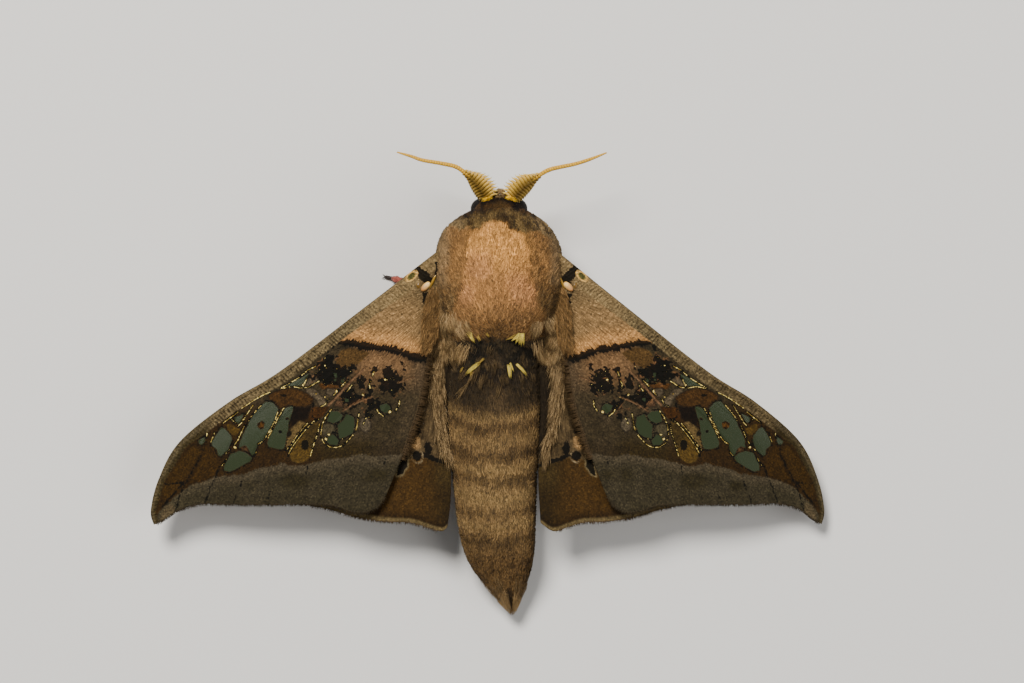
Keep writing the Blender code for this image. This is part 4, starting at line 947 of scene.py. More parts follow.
def body_marks(points, angle):
    """The coat's colour at places on the body."""
    x, y = points[..., 0], points[..., 1]
    px, py = CHART_X - x / CHART_STEP, CHART_Y + y / CHART_STEP
    turn = np.abs(angle)
    wx = px + (grain(px, py, 6, 5) - 0.5) * 6
    wy = py + (grain(px, py, 6, 6) - 0.5) * 7
    colour = thorax_marks(px, py, wx, wy, turn)
    # the waist
    waist = blend(tone(26, 21, 9), tone(60, 49, 31), smoothstep(0.3, 0.75, grain(px, py, 5, 35)))
    waist = paint(
        waist, ((75, 60, 38), spot(wx, wy, (495, 360), (11, 7)) * 0.7),
        ((110, 90, 60), smoothstep(36, 44, np.abs(wx - 498)) * 0.7))
    colour = blend(colour, waist, smoothstep(-2.5, 2.5, wy - 338 - np.abs(wx - 500) * 0.03))
    # the abdomen
    brown = blend(tone(110, 86, 53), tone(142, 113, 72), grain(px, py, 8, 9))
    brown = paint(
        brown, ((164, 133, 86), spot(wx, wy, (497, 492), (26, 30), 0.8) * 0.6),
        ((92, 68, 38), smoothstep(30, 44, np.abs(px - 496)) * smoothstep(440, 480, py) * 0.5),
        ((98, 74, 42), smoothstep(530, 565, py) * 0.9))
    away = np.abs(px - 496) / 45
    level = wy + (grain(px, py, 14, 37) - 0.5) * 7 + (grain(px, py * 0.4, 3.5, 47) - 0.5) * 4 + away**2 * 9
    patchy = 0.35 + 0.65 * grain(px, py, 11, 43)
    light = np.interp(py, (418, 430, 450, 464), (0.9, 0.65, 0.6, 0.95))
    dark = np.interp(py, (450, 500, 560), (0.95, 0.7, 0.8))
    brown = paint(
        brown, ((141, 115, 72), bands(level, LIGHT_BANDS, 5.0) * patchy * light),
        ((64, 47, 22), bands(level, DARK_BANDS, 5.0) * (1.4 - patchy) * dark),
        ((54, 42, 23), smoothstep(424, 402, level)),
        ((40, 30, 16), smoothstep(394, 376, level) * 0.85),
        ((96, 77, 50), spot(wx, wy, (497, 402), (10, 16), 0.7) * 0.6),
        ((94, 80, 53), smoothstep(1.2, 1.6, turn) * 0.7),
        ((140, 112, 74), smoothstep(584, 600, py) * smoothstep(2.5, 6, np.abs(px - 509.5)) * 0.8),
        ((34, 20, 10), smoothstep(586, 594, py) * smoothstep(4, 1.6, np.abs(px - 508.5)) * 0.85))
    return blend(colour, brown, smoothstep(366, 373, wy))


def coat_lie(points, angle):
    """Which way the coat lies, its length, how steeply it stands and how thickly it grows."""
    x, y, z = points[..., 0], points[..., 1], points[..., 2]
    px, py = CHART_X - x / CHART_STEP, CHART_Y + y / CHART_STEP
    swirl = (grain(x, y, 1.6, 61) - 0.5) * 1.1 + (grain(angle * 4, y, 0.6, 67) - 0.5) * 0.6
    inward = -1.15 * np.sin(angle) * smoothstep(225, 245, py) * smoothstep(345, 335, py)
    inward = inward + 0.3 * np.sin(angle) * smoothstep(340, 350, py)
    gather = smoothstep(22, 4, np.hypot(px - 493, (py - 330) * 1.2))
    inward = inward * (1 - gather) + gather * np.clip((px - 493) / 6, -1.5, 1.5)
    forward = smoothstep(-16.2, -17.4, y)
    lie = np.stack([swirl * 0.55 + inward + forward * np.sin(angle) * 1.2, 1 - 2.2 * forward, -0.25 + 0 * x], -1)
    reach = np.interp(py, (196, 205, 214, 232, 300, 322, 345, 368, 400, 560, 600, 612),
                      (0.5, 0.8, 1.25, 1.5, 1.65, 1.8, 2.0, 2.0, 1.9, 1.8, 1.3, 0.7))
    lift = np.interp(py, (196, 214, 240, 300, 345, 372, 560, 600), (0.5, 0.6, 0.38, 0.34, 0.36, 0.28, 0.25, 0.2))
    flank = smoothstep(0.8, 1.35, np.abs(angle)) * smoothstep(2.2, 1.8, np.abs(angle))
    lift = lift + flank * np.interp(py, (200, 225, 300, 340, 400, 540, 600), (0.1, 0.4, 0.4, 0.25, 0.3, 0.25, 0.1))
    under = smoothstep(1.9, 2.5, np.abs(angle))
    reach = reach * (1 - 0.45 * under) * (0.75 + 0.5 * grain(x, y, 0.9, 71))
    lift = lift * (1 - 0.4 * under)
    cover = 1 - 0.88 * under
    return lie, reach, lift, cover


def unwrap(share, angle):
    """The place of a skin point on the flat map of the skin."""
    return np.stack([0.02 + 0.96 * (angle + math.pi) / (2 * math.pi), 0.02 + 0.96 * share], -1)


def marked_material(name, roughness, size, strength, detail=4.0, edge=0.3, relief=(0.6, 0.00005), gloss=0.3,
                    coat=0.0):
    """A finish in the piece's own marks, with a fine uneven shade and bump."""
    made, n, shader = new_material(name, roughness)
    marks = n.add("ShaderNodeAttribute", attribute_name="marks").outputs["Color"]
    place = n.add("ShaderNodeTexCoord").outputs["Object"]
    fine = n.add("ShaderNodeGroup", {"Marks": marks, "Place": place, "Size": size, "Detail": detail, "Edge": edge,
                                     "Strength": strength}, node_tree=FINE_SHADE)
    n.link(fine.outputs["Colour"], shader.inputs["Base Color"])
    bump(n, shader, fine.outputs["Height"], *relief)
    shader.inputs["Coat Weight"].default_value = coat
    shader.inputs["Specular IOR Level"].default_value = gloss
    return made


def strands(roots, directions, lengths, widths, bends, levels=(0.0, 0.55)):
    """Thin tapered hairs, each three sided: their points, their triangles and the points of each."""
    lengths, widths = np.asarray(lengths, float)[:, None], np.asarray(widths, float)[:, None]
    side = np.cross(directions, (0.0, 0.0, 1.0))
    side /= np.linalg.norm(side, axis=1)[:, None] + 1e-9
    rise = np.cross(side, directions)
    rings = []
    for t in levels:
        middle = roots + (directions * t + bends * t * t) * lengths
        half = widths * 0.5 * (1 - 0.7 * t)
        for k in range(3):
            a = 2 * math.pi * k / 3 + 0.5
            rings.append(middle + (side * math.cos(a) - rise * math.sin(a)) * half)
    rings.append(roots + (directions + bends) * lengths)
    points = np.stack(rings, 1)
    per = points.shape[1]
    corners = []
    for r in range(len(levels) - 1):
        for k in range(3):
            a, b = 3 * r + k, 3 * r + (k + 1) % 3
            corners += [(a, b, b + 3), (a, b + 3, a + 3)]
    last = 3 * (len(levels) - 1)
    corners += [(last + k, last + (k + 1) % 3, per - 1) for k in range(3)] + [(2, 1, 0)]
    faces = (np.array(corners)[None] + per * np.arange(len(roots))[:, None, None]).reshape(-1, 3)
    return points.reshape(-1, 3), faces, per


def unit(v):
    return v / (np.linalg.norm(v, axis=-1, keepdims=True) + 1e-12)


def make_tuft(name, hairs, width, spread, levels, seed):
    """A small tuft of hairs 1 mm long that lie along +X, for setting over the skin."""
    rnd = np.random.default_rng(seed)
    turn = np.linspace(-spread, spread, hairs) + rnd.uniform(-0.05, 0.05, hairs)
    directions = unit(np.stack([np.cos(turn), np.sin(turn), rnd.uniform(0.0, 0.28, hairs)], -1))
    roots = np.stack([rnd.uniform(-0.1, 0.1, hairs), np.linspace(-0.11, 0.11, hairs), np.full(hairs, -0.06)], -1)
    bends = np.stack([0 * turn, rnd.uniform(-0.08, 0.08, hairs), -rnd.uniform(0.03, 0.16, hairs)], -1)
    lengths = rnd.uniform(0.72, 1.1, hairs)
    points, faces, per = strands(roots, directions, lengths, np.full(hairs, width), bends, levels)
    obj = new_object(name, points - BODY_SHIFT, faces, None)
    along = np.r_[np.repeat(levels, 3), 1.0]
    hair = np.arange(hairs)
    across = (hair[:, None] + np.r_[np.tile((0.1, 0.4, 0.7), len(levels)), 0.4]).reshape(-1) / hairs
    patch = np.stack([np.tile(along, hairs) - 0.5, across - 0.5], -1)
    return obj, patch * 0.003, np.tile(along, hairs)


def fur_tree():
    """Geometry nodes that set a tuft over a skin, lying along the skin's own field."""
    tree = bpy.data.node_groups.new("fur over a skin", "GeometryNodeTree")
    for key, kind in (("Skin", "Geometry"), ("Tuft", "Object"), ("Per square metre", "Float"),
                      ("Nearest", "Float"), ("Seed", "Int"), ("Finish", "Material")):
        tree.interface.new_socket(key, in_out="INPUT", socket_type="NodeSocket" + kind)
    tree.interface.new_socket("Fur", in_out="OUTPUT", socket_type="NodeSocketGeometry")
    n = Nodes(tree)
    source, sink = tree.nodes.new("NodeGroupInput").outputs, tree.nodes.new("NodeGroupOutput")

    def field(name, kind="FLOAT"):
        return n.add("GeometryNodeInputNamedAttribute", {"Name": name}, data_type=kind).outputs[0]

    def chance(low, high, seed):
        return n.add("FunctionNodeRandomValue", {2: low, 3: high, 8: seed}, data_type="FLOAT").outputs[1]

    spots = n.add("GeometryNodeDistributePointsOnFaces",
                  {"Mesh": source["Skin"], "Distance Min": source["Nearest"],
                   "Density Max": source["Per square metre"], "Density Factor": field("cover"),
                   "Seed": source["Seed"]}, distribute_method="POISSON")
    axes = n.add("FunctionNodeAxesToRotation", {"Primary Axis": spots.outputs["Normal"],
                                                "Secondary Axis": field("lie", "FLOAT_VECTOR")},
                 primary_axis="Z", secondary_axis="X")
    steep = n.times(n.times(field("lift"), -1.0), chance(0.55, 1.35, 3))
    tilt = n.add("ShaderNodeCombineXYZ", {0: chance(-0.5, 0.5, 5), 1: steep, 2: chance(-0.3, 0.3, 7)})
    turned = n.add("FunctionNodeRotateRotation", {"Rotation": axes.outputs[0],
                                                  "Rotate By": n.add("FunctionNodeEulerToRotation",
                                                                     {0: tilt.outputs[0]}).outputs[0]},
                   rotation_space="LOCAL")
    long = n.times(field("reach"), chance(0.7, 1.4, 11))
    size = n.add("ShaderNodeCombineXYZ", {0: long, 1: chance(0.85, 1.3, 13), 2: 1.0})
    held = n.add("GeometryNodeObjectInfo", {"Object": source["Tuft"]})
    copies = n.add("GeometryNodeInstanceOnPoints", {"Points": spots.outputs["Points"],
                                                    "Instance": held.outputs["Geometry"],
                                                    "Rotation": turned.outputs[0], "Scale": size.outputs[0]})
    home = n.add("GeometryNodeStoreNamedAttribute",
                 {"Geometry": copies.outputs[0], "Name": "home",
                  "Value": n.add("GeometryNodeInputPosition").outputs[0]},
                 data_type="FLOAT_VECTOR", domain="INSTANCE")
    real = n.add("GeometryNodeRealizeInstances", {0: home.outputs[0]})
    done = n.add("GeometryNodeSetMaterial", {"Geometry": real.outputs[0], "Material": source["Finish"]})
    n.link(done.outputs[0], sink.inputs[0])
    return tree


def through_nodes(obj, tree, settings):
    """The plain mesh that the tree makes of an object, whose own mesh is then removed."""
    modifier = obj.modifiers.new("nodes", "NODES")
    modifier.node_group = tree
    for item in tree.interface.items_tree:
        if item.in_out == "INPUT" and item.name in settings:
            modifier[item.identifier] = settings[item.name]
    bpy.context.view_layer.update()
    made = bpy.data.meshes.new_from_object(obj.evaluated_get(bpy.context.evaluated_depsgraph_get()))
    name = obj.name
    bpy.data.objects.remove(obj)
    made.name = name
    result = bpy.data.objects.new(name, made)
    bpy.context.scene.collection.objects.link(result)
    return result


def read_field(mesh, name, size):
    data = mesh.attributes[name].data
    out = np.empty(len(data) * size, np.float32)
    data.foreach_get("vector" if size == 3 else "value", out)
    return out.reshape(-1, size) if size > 1 else out


def set_bake_map(mesh, places):
    """The map that holds each point's place for baking."""
    corners = np.empty(len(mesh.loops), np.int32)
    mesh.loops.foreach_get("vertex_index", corners)
    layer = mesh.uv_layers.new(name="OFBake")
    layer.data.foreach_set("uv", places[corners].astype(np.float32).reshape(-1))
    mesh.uv_layers.active = layer


def set_marks(mesh, colours):
    data = mesh.attributes.new("marks", "FLOAT_COLOR", "POINT")
    data.data.foreach_set("color", np.c_[colours, np.ones(len(colours))].astype(np.float32).reshape(-1))


def section_middle(y):
    rows = np.array(BODY_SECTIONS)
    return np.interp(y, rows[:, 0], rows[:, 1]), np.interp(y, rows[:, 0], (rows[:, 3] + rows[:, 4]) / 2)


skin_points, skin_share, skin_angle = skin_grid()
skin_lie, skin_reach, skin_lift, skin_cover = coat_lie(skin_points, skin_angle)
HAIR_RELIEF = (0.5, 0.0001)
coat_finish = marked_material("coat hair", 0.62, 9000.0, 0.2, 3.0, 0.25, HAIR_RELIEF, 0.18)
skin_finish = marked_material("skin under the coat", 0.9, 5000.0, 0.35, 3.0, 0.25, HAIR_RELIEF, 0.18)


def ring_faces(rows, columns):
    """The faces between closed rings of points."""
    grid = np.arange(rows * columns).reshape(rows, columns)
    after = np.roll(grid, -1, axis=1)
    return np.stack([grid[:-1], grid[1:], after[1:], after[:-1]], -1).reshape(-1, 4)


faces = [tuple(f) for f in ring_faces(SKIN_ROWS, SKIN_COLUMNS)]
first, last = SKIN_ROWS * SKIN_COLUMNS, SKIN_ROWS * SKIN_COLUMNS + 1
for k in range(SKIN_COLUMNS):
    after = (k + 1) % SKIN_COLUMNS
    base = (SKIN_ROWS - 1) * SKIN_COLUMNS
    faces += [(first, k, after), (base + k, last, base + after)]
ends = np.stack([skin_points[0].mean(0) + (0, -0.06, 0), skin_points[-1].mean(0) + (0, 0.05, 0)])
# The skin takes six tenths of the coat's colours: painted shade, seen in the gaps between the hairs.
colours = body_marks(skin_points, skin_angle) * 0.6
colours = np.concatenate([colours.reshape(-1, 3), np.stack([colours[0].mean(0), colours[-1].mean(0)])])
skin = new_object("body_skin", np.concatenate([skin_points.reshape(-1, 3), ends]), faces, skin_finish,
                  {"marks": colours})
places = unwrap(skin_share, skin_angle).reshape(-1, 2)
places = np.concatenate([places, ((0.5, 0.005), (0.5, 0.995))])
set_bake_map(skin.data, places)
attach(skin, "root")
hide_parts("thorax", "abdomen", "head")

FUR_ZONES = (
    # name, first y, last y, tufts a square millimetre, whether its hairs are the long kind, seed
    ("collar_fur", -18.2, -15.0, 30, False, 1), ("front_thorax_fur", -15.0, -12.2, 25, False, 2),
    ("middle_thorax_fur", -12.2, -9.4, 25, False, 3), ("rear_thorax_fur", -9.4, -6.0, 25, False, 4),
    ("waist_fur", -6.0, -1.6, 21, True, 5), ("first_abdomen_fur", -1.6, 3.4, 19, True, 6),
    ("second_abdomen_fur", 3.4, 8.4, 19, True, 7), ("third_abdomen_fur", 8.4, 13.6, 19, True, 8),
    ("tail_fur", 13.6, 21.7, 20, True, 9),
)
TRIED = 1.6e6  # the tufts tried on a square metre for each that should stand on a square millimetre
SPACING = 0.55  # the least distance between two tufts, as a share of their even spacing
VELVET_HAIRS, LONG_HAIRS = 5, 4
velvet_tuft = make_tuft("velvet_tuft", VELVET_HAIRS, 0.085, 0.2, (0.0, 0.55), 1)
long_tuft = make_tuft("long_tuft", LONG_HAIRS, 0.092, 0.16, (0.0, 0.4, 0.75), 2)
FUR = fur_tree()
for name, start, end, density, long, seed in FUR_ZONES:
    rows = np.flatnonzero((skin_points[:, 0, 1] > start - 0.12) & (skin_points[:, 0, 1] <= end))
    rows = slice(rows[0], rows[-1] + 1)
    count = rows.stop - rows.start
    base = new_object(name, skin_points[rows].reshape(-1, 3), ring_faces(count, SKIN_COLUMNS), coat_finish, {}, {
        "lie": skin_lie[rows].reshape(-1, 3), "reach": skin_reach[rows].reshape(-1),
        "lift": skin_lift[rows].reshape(-1), "cover": skin_cover[rows].reshape(-1),
        "share": skin_share[rows].reshape(-1)})
    tuft, patch, along = long_tuft if long else velvet_tuft
    coat = through_nodes(base, FUR, {
        "Tuft": tuft, "Per square metre": density * TRIED, "Nearest": SPACING / math.sqrt(density) * MM,
        "Seed": seed, "Finish": coat_finish})
    mesh = coat.data
    home = read_field(mesh, "home", 3) / MM - BODY_SHIFT
    share = read_field(mesh, "share", 1)
    middle_x, middle_z = section_middle(home[:, 1])
    angle = np.arctan2(home[:, 0] - middle_x, home[:, 2] - middle_z)
    copies = len(mesh.vertices) // len(along)
    rnd = np.random.default_rng(seed + 100)
    hairs = LONG_HAIRS if long else VELVET_HAIRS
    # Each lock and each hair gets a random tone of its own. The streaks are partly the coat's own streaks and partly
    # painted shade in the gaps between locks. Each hair also darkens towards its root, which is painted shade deep
    # in the coat.
    lock = np.repeat(rnd.uniform(0.8, 1.2, copies), hairs)
    each = np.repeat(rnd.uniform(0.45, 1.5, copies * hairs) * lock, len(along) // hairs)
    drawn_in = home[:, 0] * np.exp(0.11 * np.clip(home[:, 1] + 14, -2, 9))
    streak = 0.55 + 0.9 * grain(drawn_in, home[:, 1] * 0.22, 0.2, 91, 2)
    shade = each * streak * (0.6 + 0.6 * np.tile(along, copies))
    set_marks(mesh, body_marks(home, angle) * shade[:, None])
    set_bake_map(mesh, unwrap(share, angle) + np.tile(patch, (copies, 1)))
    for key in ("home", "share", "lie", "reach", "lift", "cover"):
        if key in mesh.attributes:
            mesh.attributes.remove(mesh.attributes[key])
    mesh.shade_smooth()
    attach(coat, "root")
for obj, _, _ in (velvet_tuft, long_tuft):
    bpy.data.objects.remove(obj)


# Long hair and bright tufts set one by one
def skin_top(x, y):
    """The height of the skin's upper side over a place."""
    rows = np.array(BODY_SECTIONS)
    middle, half, high, low = (np.interp(y, rows[:, 0], rows[:, k]) for k in range(1, 5))
    across = np.clip((x - middle) / half, -0.98, 0.98)
    return (high + low) / 2 + (high - low) / 2 * np.sqrt(1 - across**2)


def from_chart(px, py):
    """The body place of a chart point, without its height."""
    px, py = np.asarray(px, float), np.asarray(py, float)
    return np.stack([(CHART_X - px) * CHART_STEP, (py - CHART_Y) * CHART_STEP], -1)


def hair_piece(name, roots, tips, widths, bends, colours, material, levels=(0.0, 0.35, 0.7)):
    """One piece of many curved hairs, each from its root to its tip, with its own colour and baking patch."""
    lengths = np.linalg.norm(tips - roots, axis=1)
    ways = (tips - roots) / lengths[:, None] - bends
    points, faces, per = strands(roots, ways, lengths, widths, bends, levels)
    along = np.r_[np.repeat(levels, 3), 1.0]
    # Each hair darkens towards its root: painted shade deep among the hairs.
    shade = (0.7 + 0.45 * np.tile(along, len(roots)))[:, None]
    obj = new_object(name, points, faces, material, {"marks": np.repeat(colours, per, 0) * shade})
    middle_x, middle_z = section_middle(roots[:, 1])
    angle = np.arctan2(roots[:, 0] - middle_x, roots[:, 2] - middle_z)
    share = np.interp(roots[:, 1], skin_points[:, 0, 1], skin_share[:, 0])
    across = np.tile(np.r_[np.tile((0.1, 0.5, 0.9), len(levels)), 0.5], len(roots))
    patch = np.stack([np.tile(along, len(roots)) - 0.5, across - 0.5], -1)
    set_bake_map(obj.data, np.repeat(unwrap(share, angle), per, 0) + patch * 0.003)
    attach(obj, "root")
    return obj


def tufts(name, rows, width, seed, rise=(0.35, 0.6)):
    """Bundles of hair over the body: each row has a root, a tip, both spreads, a count, a bow and a colour."""
    rnd = np.random.default_rng(seed)
    roots, tips, bends, colours = [], [], [], []
    for root, tip, root_spread, tip_spread, count, bow, colour in rows:
        way = unit(from_chart(*tip) - from_chart(*root))
        aside = np.array((-way[1], way[0]))
        length = np.linalg.norm(from_chart(*tip) - from_chart(*root))
        across, back = rnd.uniform(-1, 1, (2, count))
        start = from_chart(*root) + np.outer(across * root_spread * CHART_STEP, aside)
        start = start + np.outer(back * min(root_spread * CHART_STEP * 0.8, length * 0.3), way)
        apart = across * 0.75 + rnd.uniform(-0.25, 0.25, count)
        end = from_chart(*tip) + np.outer(apart * tip_spread * CHART_STEP, aside)
        end = end + np.outer((rnd.uniform(-0.35, 0.12, count) - 0.25 * np.abs(apart)) * length, way)
        low = skin_top(start[:, 0], start[:, 1]) + rise[0] + rnd.uniform(-0.2, 0.1, count)
        high = skin_top(end[:, 0], end[:, 1]) + rise[1] + rnd.uniform(-0.2, 0.15, count)
        roots.append(np.c_[start, low])
        tips.append(np.c_[end, np.maximum(high, low - 1.2)])
        curl = bow + rnd.normal(0, 0.07, count)
        bends.append(np.c_[aside[0] * curl, aside[1] * curl, rnd.uniform(-0.32, 0.02, count)])
        colours.append(np.asarray(colour)[None] * rnd.uniform(0.6, 1.15, (count, 1)))
    roots, tips, bends, colours = (np.concatenate(v) for v in (roots, tips, bends, colours))
    widths = rnd.uniform(0.6, 1.25, len(roots)) * width
    return hair_piece(name, roots, tips, widths, bends, colours, coat_finish)


PALE_YELLOW, DULL_YELLOW = tone(255, 230, 116), tone(196, 164, 80)
BEIGE, DARK_BEIGE, FAIR_BEIGE = tone(176, 146, 100), tone(92, 74, 46), tone(222, 188, 136)
tufts("front_row_tufts", (
    ((469.5, 333), (475.5, 343.5), 2.4, 1.0, 90, 0.08, PALE_YELLOW),
    ((487, 334), (490, 338), 1.2, 0.8, 20, 0.05, DULL_YELLOW),
    ((478, 336), (481, 342), 1.5, 2, 20, 0.0, DULL_YELLOW),
    ((517, 335), (505, 340), 1.6, 0.6, 44, -0.15, DULL_YELLOW),
    ((519, 335), (511, 341.5), 1.8, 0.8, 60, -0.12, PALE_YELLOW),
    ((519.6, 334.5), (515, 344.5), 1.6, 0.8, 70, -0.08, PALE_YELLOW),
    ((520.6, 334.5), (518.5, 345.5), 1.6, 0.8, 80, -0.05, PALE_YELLOW),
    ((521.6, 334.5), (521, 347), 1.6, 0.8, 80, 0.0, PALE_YELLOW),
    ((522.6, 334.5), (523.8, 346), 1.6, 0.8, 80, 0.05, PALE_YELLOW),
), 0.038, 31, rise=(0.22, 0.45))
tufts("rear_row_tufts", (
    ((478.5, 363.5), (465, 375.5), 1.7, 1.9, 120, 0.18, PALE_YELLOW),
    ((484, 358.5), (476, 367), 1.1, 0.9, 34, 0.1, DULL_YELLOW),
    ((463.2, 367), (459.8, 373.5), 0.8, 0.9, 24, 0.1, DULL_YELLOW),
    ((508.8, 365.5), (511, 379), 1.7, 2.0, 110, 0.05, PALE_YELLOW),
    ((510.2, 363), (514, 371.5), 0.9, 0.9, 34, 0.05, PALE_YELLOW),
    ((517, 364.5), (527.5, 376.5), 1.2, 1.2, 90, -0.16, PALE_YELLOW),
    ((472.5, 372), (470, 377), 1.2, 1.0, 16, 0.05, DULL_YELLOW),
    ((474, 371), (465, 391), 0.8, 1.6, 20, 0.1, BEIGE * 0.6),
    ((467, 385), (454, 404), 1.4, 5.0, 30, 0.2, BEIGE * 0.6),
), 0.036, 32, rise=(0.2, 0.42))


rnd = np.random.default_rng(33)
WISPS = 34
wisp_x, wisp_y = rnd.uniform(458, 540, WISPS), rnd.uniform(338, 388, WISPS)
wisp_lean = (wisp_x - 497) * 0.12 + rnd.normal(0, 4, WISPS)
tufts("waist_wisps", [
    ((a, b), (a + lean, b + rnd.uniform(9, 15)), 3.0, 2.4, 16, rnd.uniform(-0.3, 0.3),
     BEIGE * rnd.uniform(0.22, 0.5))
    for a, b, lean in zip(wisp_x, wisp_y, wisp_lean)], 0.04, 34, rise=(0.15, 0.25))


def side_hair(name, side, seed):
    """The long grey-beige hair behind the tegula and down the side of the waist."""
    rnd = np.random.default_rng(seed)
    rows = []
    # a root and a tip on the chart's left, how far they spread, and how many hairs
    fans = (
        ((448, 318), (446, 338), 9, 9, 420), ((461, 322), (467, 343), 5, 5, 170),
        ((444, 334), (448, 354), 8, 7, 360), ((450, 346), (452, 366), 6, 8, 300),
        ((440, 344), (437, 362), 5, 4, 200), ((462, 345), (458, 366), 6, 6, 200),
        ((436, 326), (439, 344), 4, 4, 170),
    )
    for (ax, ay), (bx, by), root_spread, tip_spread, count in fans:
        for part in range(5):
            shift = rnd.uniform(-4, 4)
            drop = rnd.uniform(-4, 4)
            colour = (BEIGE * 1.15, BEIGE * 0.65, FAIR_BEIGE * 0.9, BEIGE * 0.5, FAIR_BEIGE)[part]
            a, b = ((x + shift if side > 0 else 2 * 500.5 - x + shift) for x in (ax, bx))
            rows.append(((a, ay + drop), (b + rnd.uniform(-8, 8), by + drop), root_spread, tip_spread, count // 5,
                         rnd.uniform(-0.4, 0.45), colour))
    tufts(name, rows, 0.045, seed, rise=(0.1, 0.5))


for side_name, side in SIDES.items():
    side_hair("waist_side_hair_" + side_name, side, 41 + side)

# the two flaps of hair at the tail, with a dark cleft between them
tufts("tail_flaps", (
    ((492, 584), (503, 604), 9, 6, 150, 0.05, BEIGE * 0.5),
    ((502, 598), (511.5, 617.5), 7, 2.4, 190, 0.1, BEIGE * 0.8),
    ((521, 584), (518, 603), 7, 5, 120, -0.1, BEIGE * 0.52),
    ((518, 598), (513.2, 617.5), 5, 2.0, 140, -0.1, BEIGE * 0.85),
    ((509, 592), (512, 611), 2.5, 1.5, 60, 0.0, DARK_BEIGE * 0.4),
), 0.04, 35, rise=(0.02, 0.12))


def wing_hair(name, side, layer, zone, count, reach, lean, colours, seed):
    """Hair lying on a wing: its roots fill a zone of the flat wing, and it points towards the tail."""
    rnd = np.random.default_rng(seed)
    down = rnd.uniform(0, 1, count)
    y = zone[0][0] + (zone[-1][0] - zone[0][0]) * down
    low, high = (np.interp(y, [row[0] for row in zone], [row[k] for row in zone]) for k in (1, 2))
    x = low + (high - low) * rnd.uniform(0, 1, count) ** 1.3
    length = rnd.uniform(*reach, count)
    turn = lean + (grain(x, y, 0.9, seed) - 0.5) * 1.0 + rnd.normal(0, 0.08, count)
    roots = wing_place(x, y, side, layer + rnd.uniform(0.02, 0.18, count))
    ends = layer + rnd.uniform(0.12, 0.42, count)
    tips = wing_place(x + np.sin(turn) * length, y + np.cos(turn) * length, side, ends)
    pick = rnd.integers(0, len(colours), count)
    tint = np.asarray(colours)[pick] * rnd.uniform(0.75, 1.2, (count, 1))
    bends = np.c_[rnd.normal(0, 0.06, count), rnd.normal(0, 0.04, count), rnd.uniform(-0.12, -0.02, count)]
    hair_piece(name, roots, tips, rnd.uniform(0.035, 0.07, count), bends, tint, coat_finish)


# Where hair grows on a flat wing: each row has a y and the x where the hair starts and ends
HIND_HAIR_ZONE = {
    1: (
        (-4.6, 5.2, 6.8), (-2.0, 5.2, 6.6), (0.0, 5.2, 6.4), (2.4, 5.15, 6.2), (4.3, 4.9, 5.9), (5.6, 4.7, 5.4),
        (6.4, 4.5, 5.0),
    ),
    -1: (
        (-4.6, 5.2, 6.6), (-2.0, 5.4, 6.6), (0.0, 5.4, 6.5), (2.4, 5.2, 6.2), (4.3, 4.85, 5.7), (5.6, 4.5, 5.1),
        (6.4, 4.3, 4.7),
    ),
}
FORE_HAIR_ZONE = ((-9.4, 5.3, 6.2), (-7.5, 5.3, 6.9), (-5.5, 5.4, 7.0), (-3.6, 6.0, 7.0))
for side_name, side in SIDES.items():
    wing_hair("hindwing_hair_" + side_name, side, -HIND_LAYER + 0.1, HIND_HAIR_ZONE[side], 2500,
              (1.2, 2.3), -0.1, (BEIGE * 0.6, FAIR_BEIGE * 0.7, DARK_BEIGE * 0.7, FAIR_BEIGE * 0.5), 51 + side)
    wing_hair("forewing_hair_" + side_name, side, 0.5, FORE_HAIR_ZONE, 1300, (0.5, 1.2), 0.3,
              (tone(132, 103, 63), tone(104, 80, 48), tone(168, 130, 80)), 61 + side)


def fringe(name, side, layer, line, count, colour, seed, reach=(0.15, 0.3), sag=0.0):
    """Short scales along a wing's rim, pointing outwards."""
    rnd = np.random.default_rng(seed)
    t = rnd.uniform(0.01, 0.99, count)
    spots = along_curve(line, t)
    ahead = along_curve(line, np.minimum(t + 0.004, 1)) - along_curve(line, np.maximum(t - 0.004, 0))
    out = unit(np.stack([ahead[:, 1], -ahead[:, 0]], -1))
    inside = np.array(((12.0, 3.0),)) - spots
    out = out * np.where((out * inside).sum(1) > 0, -1, 1)[:, None]
    length = rnd.uniform(*reach, count)[:, None]
    start, end = spots - out * 0.12, spots + out * length + rnd.normal(0, 0.15, (count, 2)) * length
    roots = wing_place(start[:, 0], start[:, 1], side, layer + rnd.uniform(-0.03, 0.04, count))
    tips = wing_place(end[:, 0], end[:, 1], side, layer - sag + rnd.uniform(-0.03, 0.05, count))
    bends = np.zeros((count, 3))
    tint = np.asarray(colour) * rnd.uniform(0.6, 1.25, (count, 1))
    hair_piece(name, roots, tips, np.full(count, 0.07), bends, tint, coat_finish, (0.0, 0.5))


for side_name, side in SIDES.items():
    fringe("forewing_fringe_" + side_name, side, 0.0, OUTER_MARGIN, 900, tone(58, 48, 30), 71 + side)
    fringe("inner_margin_fringe_" + side_name, side, 0.05, INNER_MARGIN[:6], 700, tone(84, 66, 42), 75 + side,
           (0.4, 1.0), 0.7)
    fringe("hindwing_fringe_" + side_name, side, -HIND_LAYER, HIND_OUTER, 500, tone(80, 64, 42), 73 + side)


# The frons, between the antennae
def ball_tuft(name, centre, radii, count, length, width, colour, spread, seed, material):
    """Short hair standing out all round a small ball."""
    rnd = np.random.default_rng(seed)
    ways = unit(rnd.normal(size=(count, 3)) + np.asarray(spread))
    roots = np.asarray(centre) + ways * np.asarray(radii)
    tips = roots + ways * rnd.uniform(0.6, 1.2, (count, 1)) * length
    tint = np.asarray(colour) * rnd.uniform(0.6, 1.3, (count, 1))
    hair_piece(name, roots, tips, np.full(count, width), np.zeros((count, 3)), tint, material, (0.0, 0.5))


ball_tuft("frons_fur", (-0.24, -18.0, 6.7), (0.45, 0.46, 0.6), 1400, 0.24, 0.065, tone(150, 123, 83),
          (0, -0.3, 0.5), 82, coat_finish)


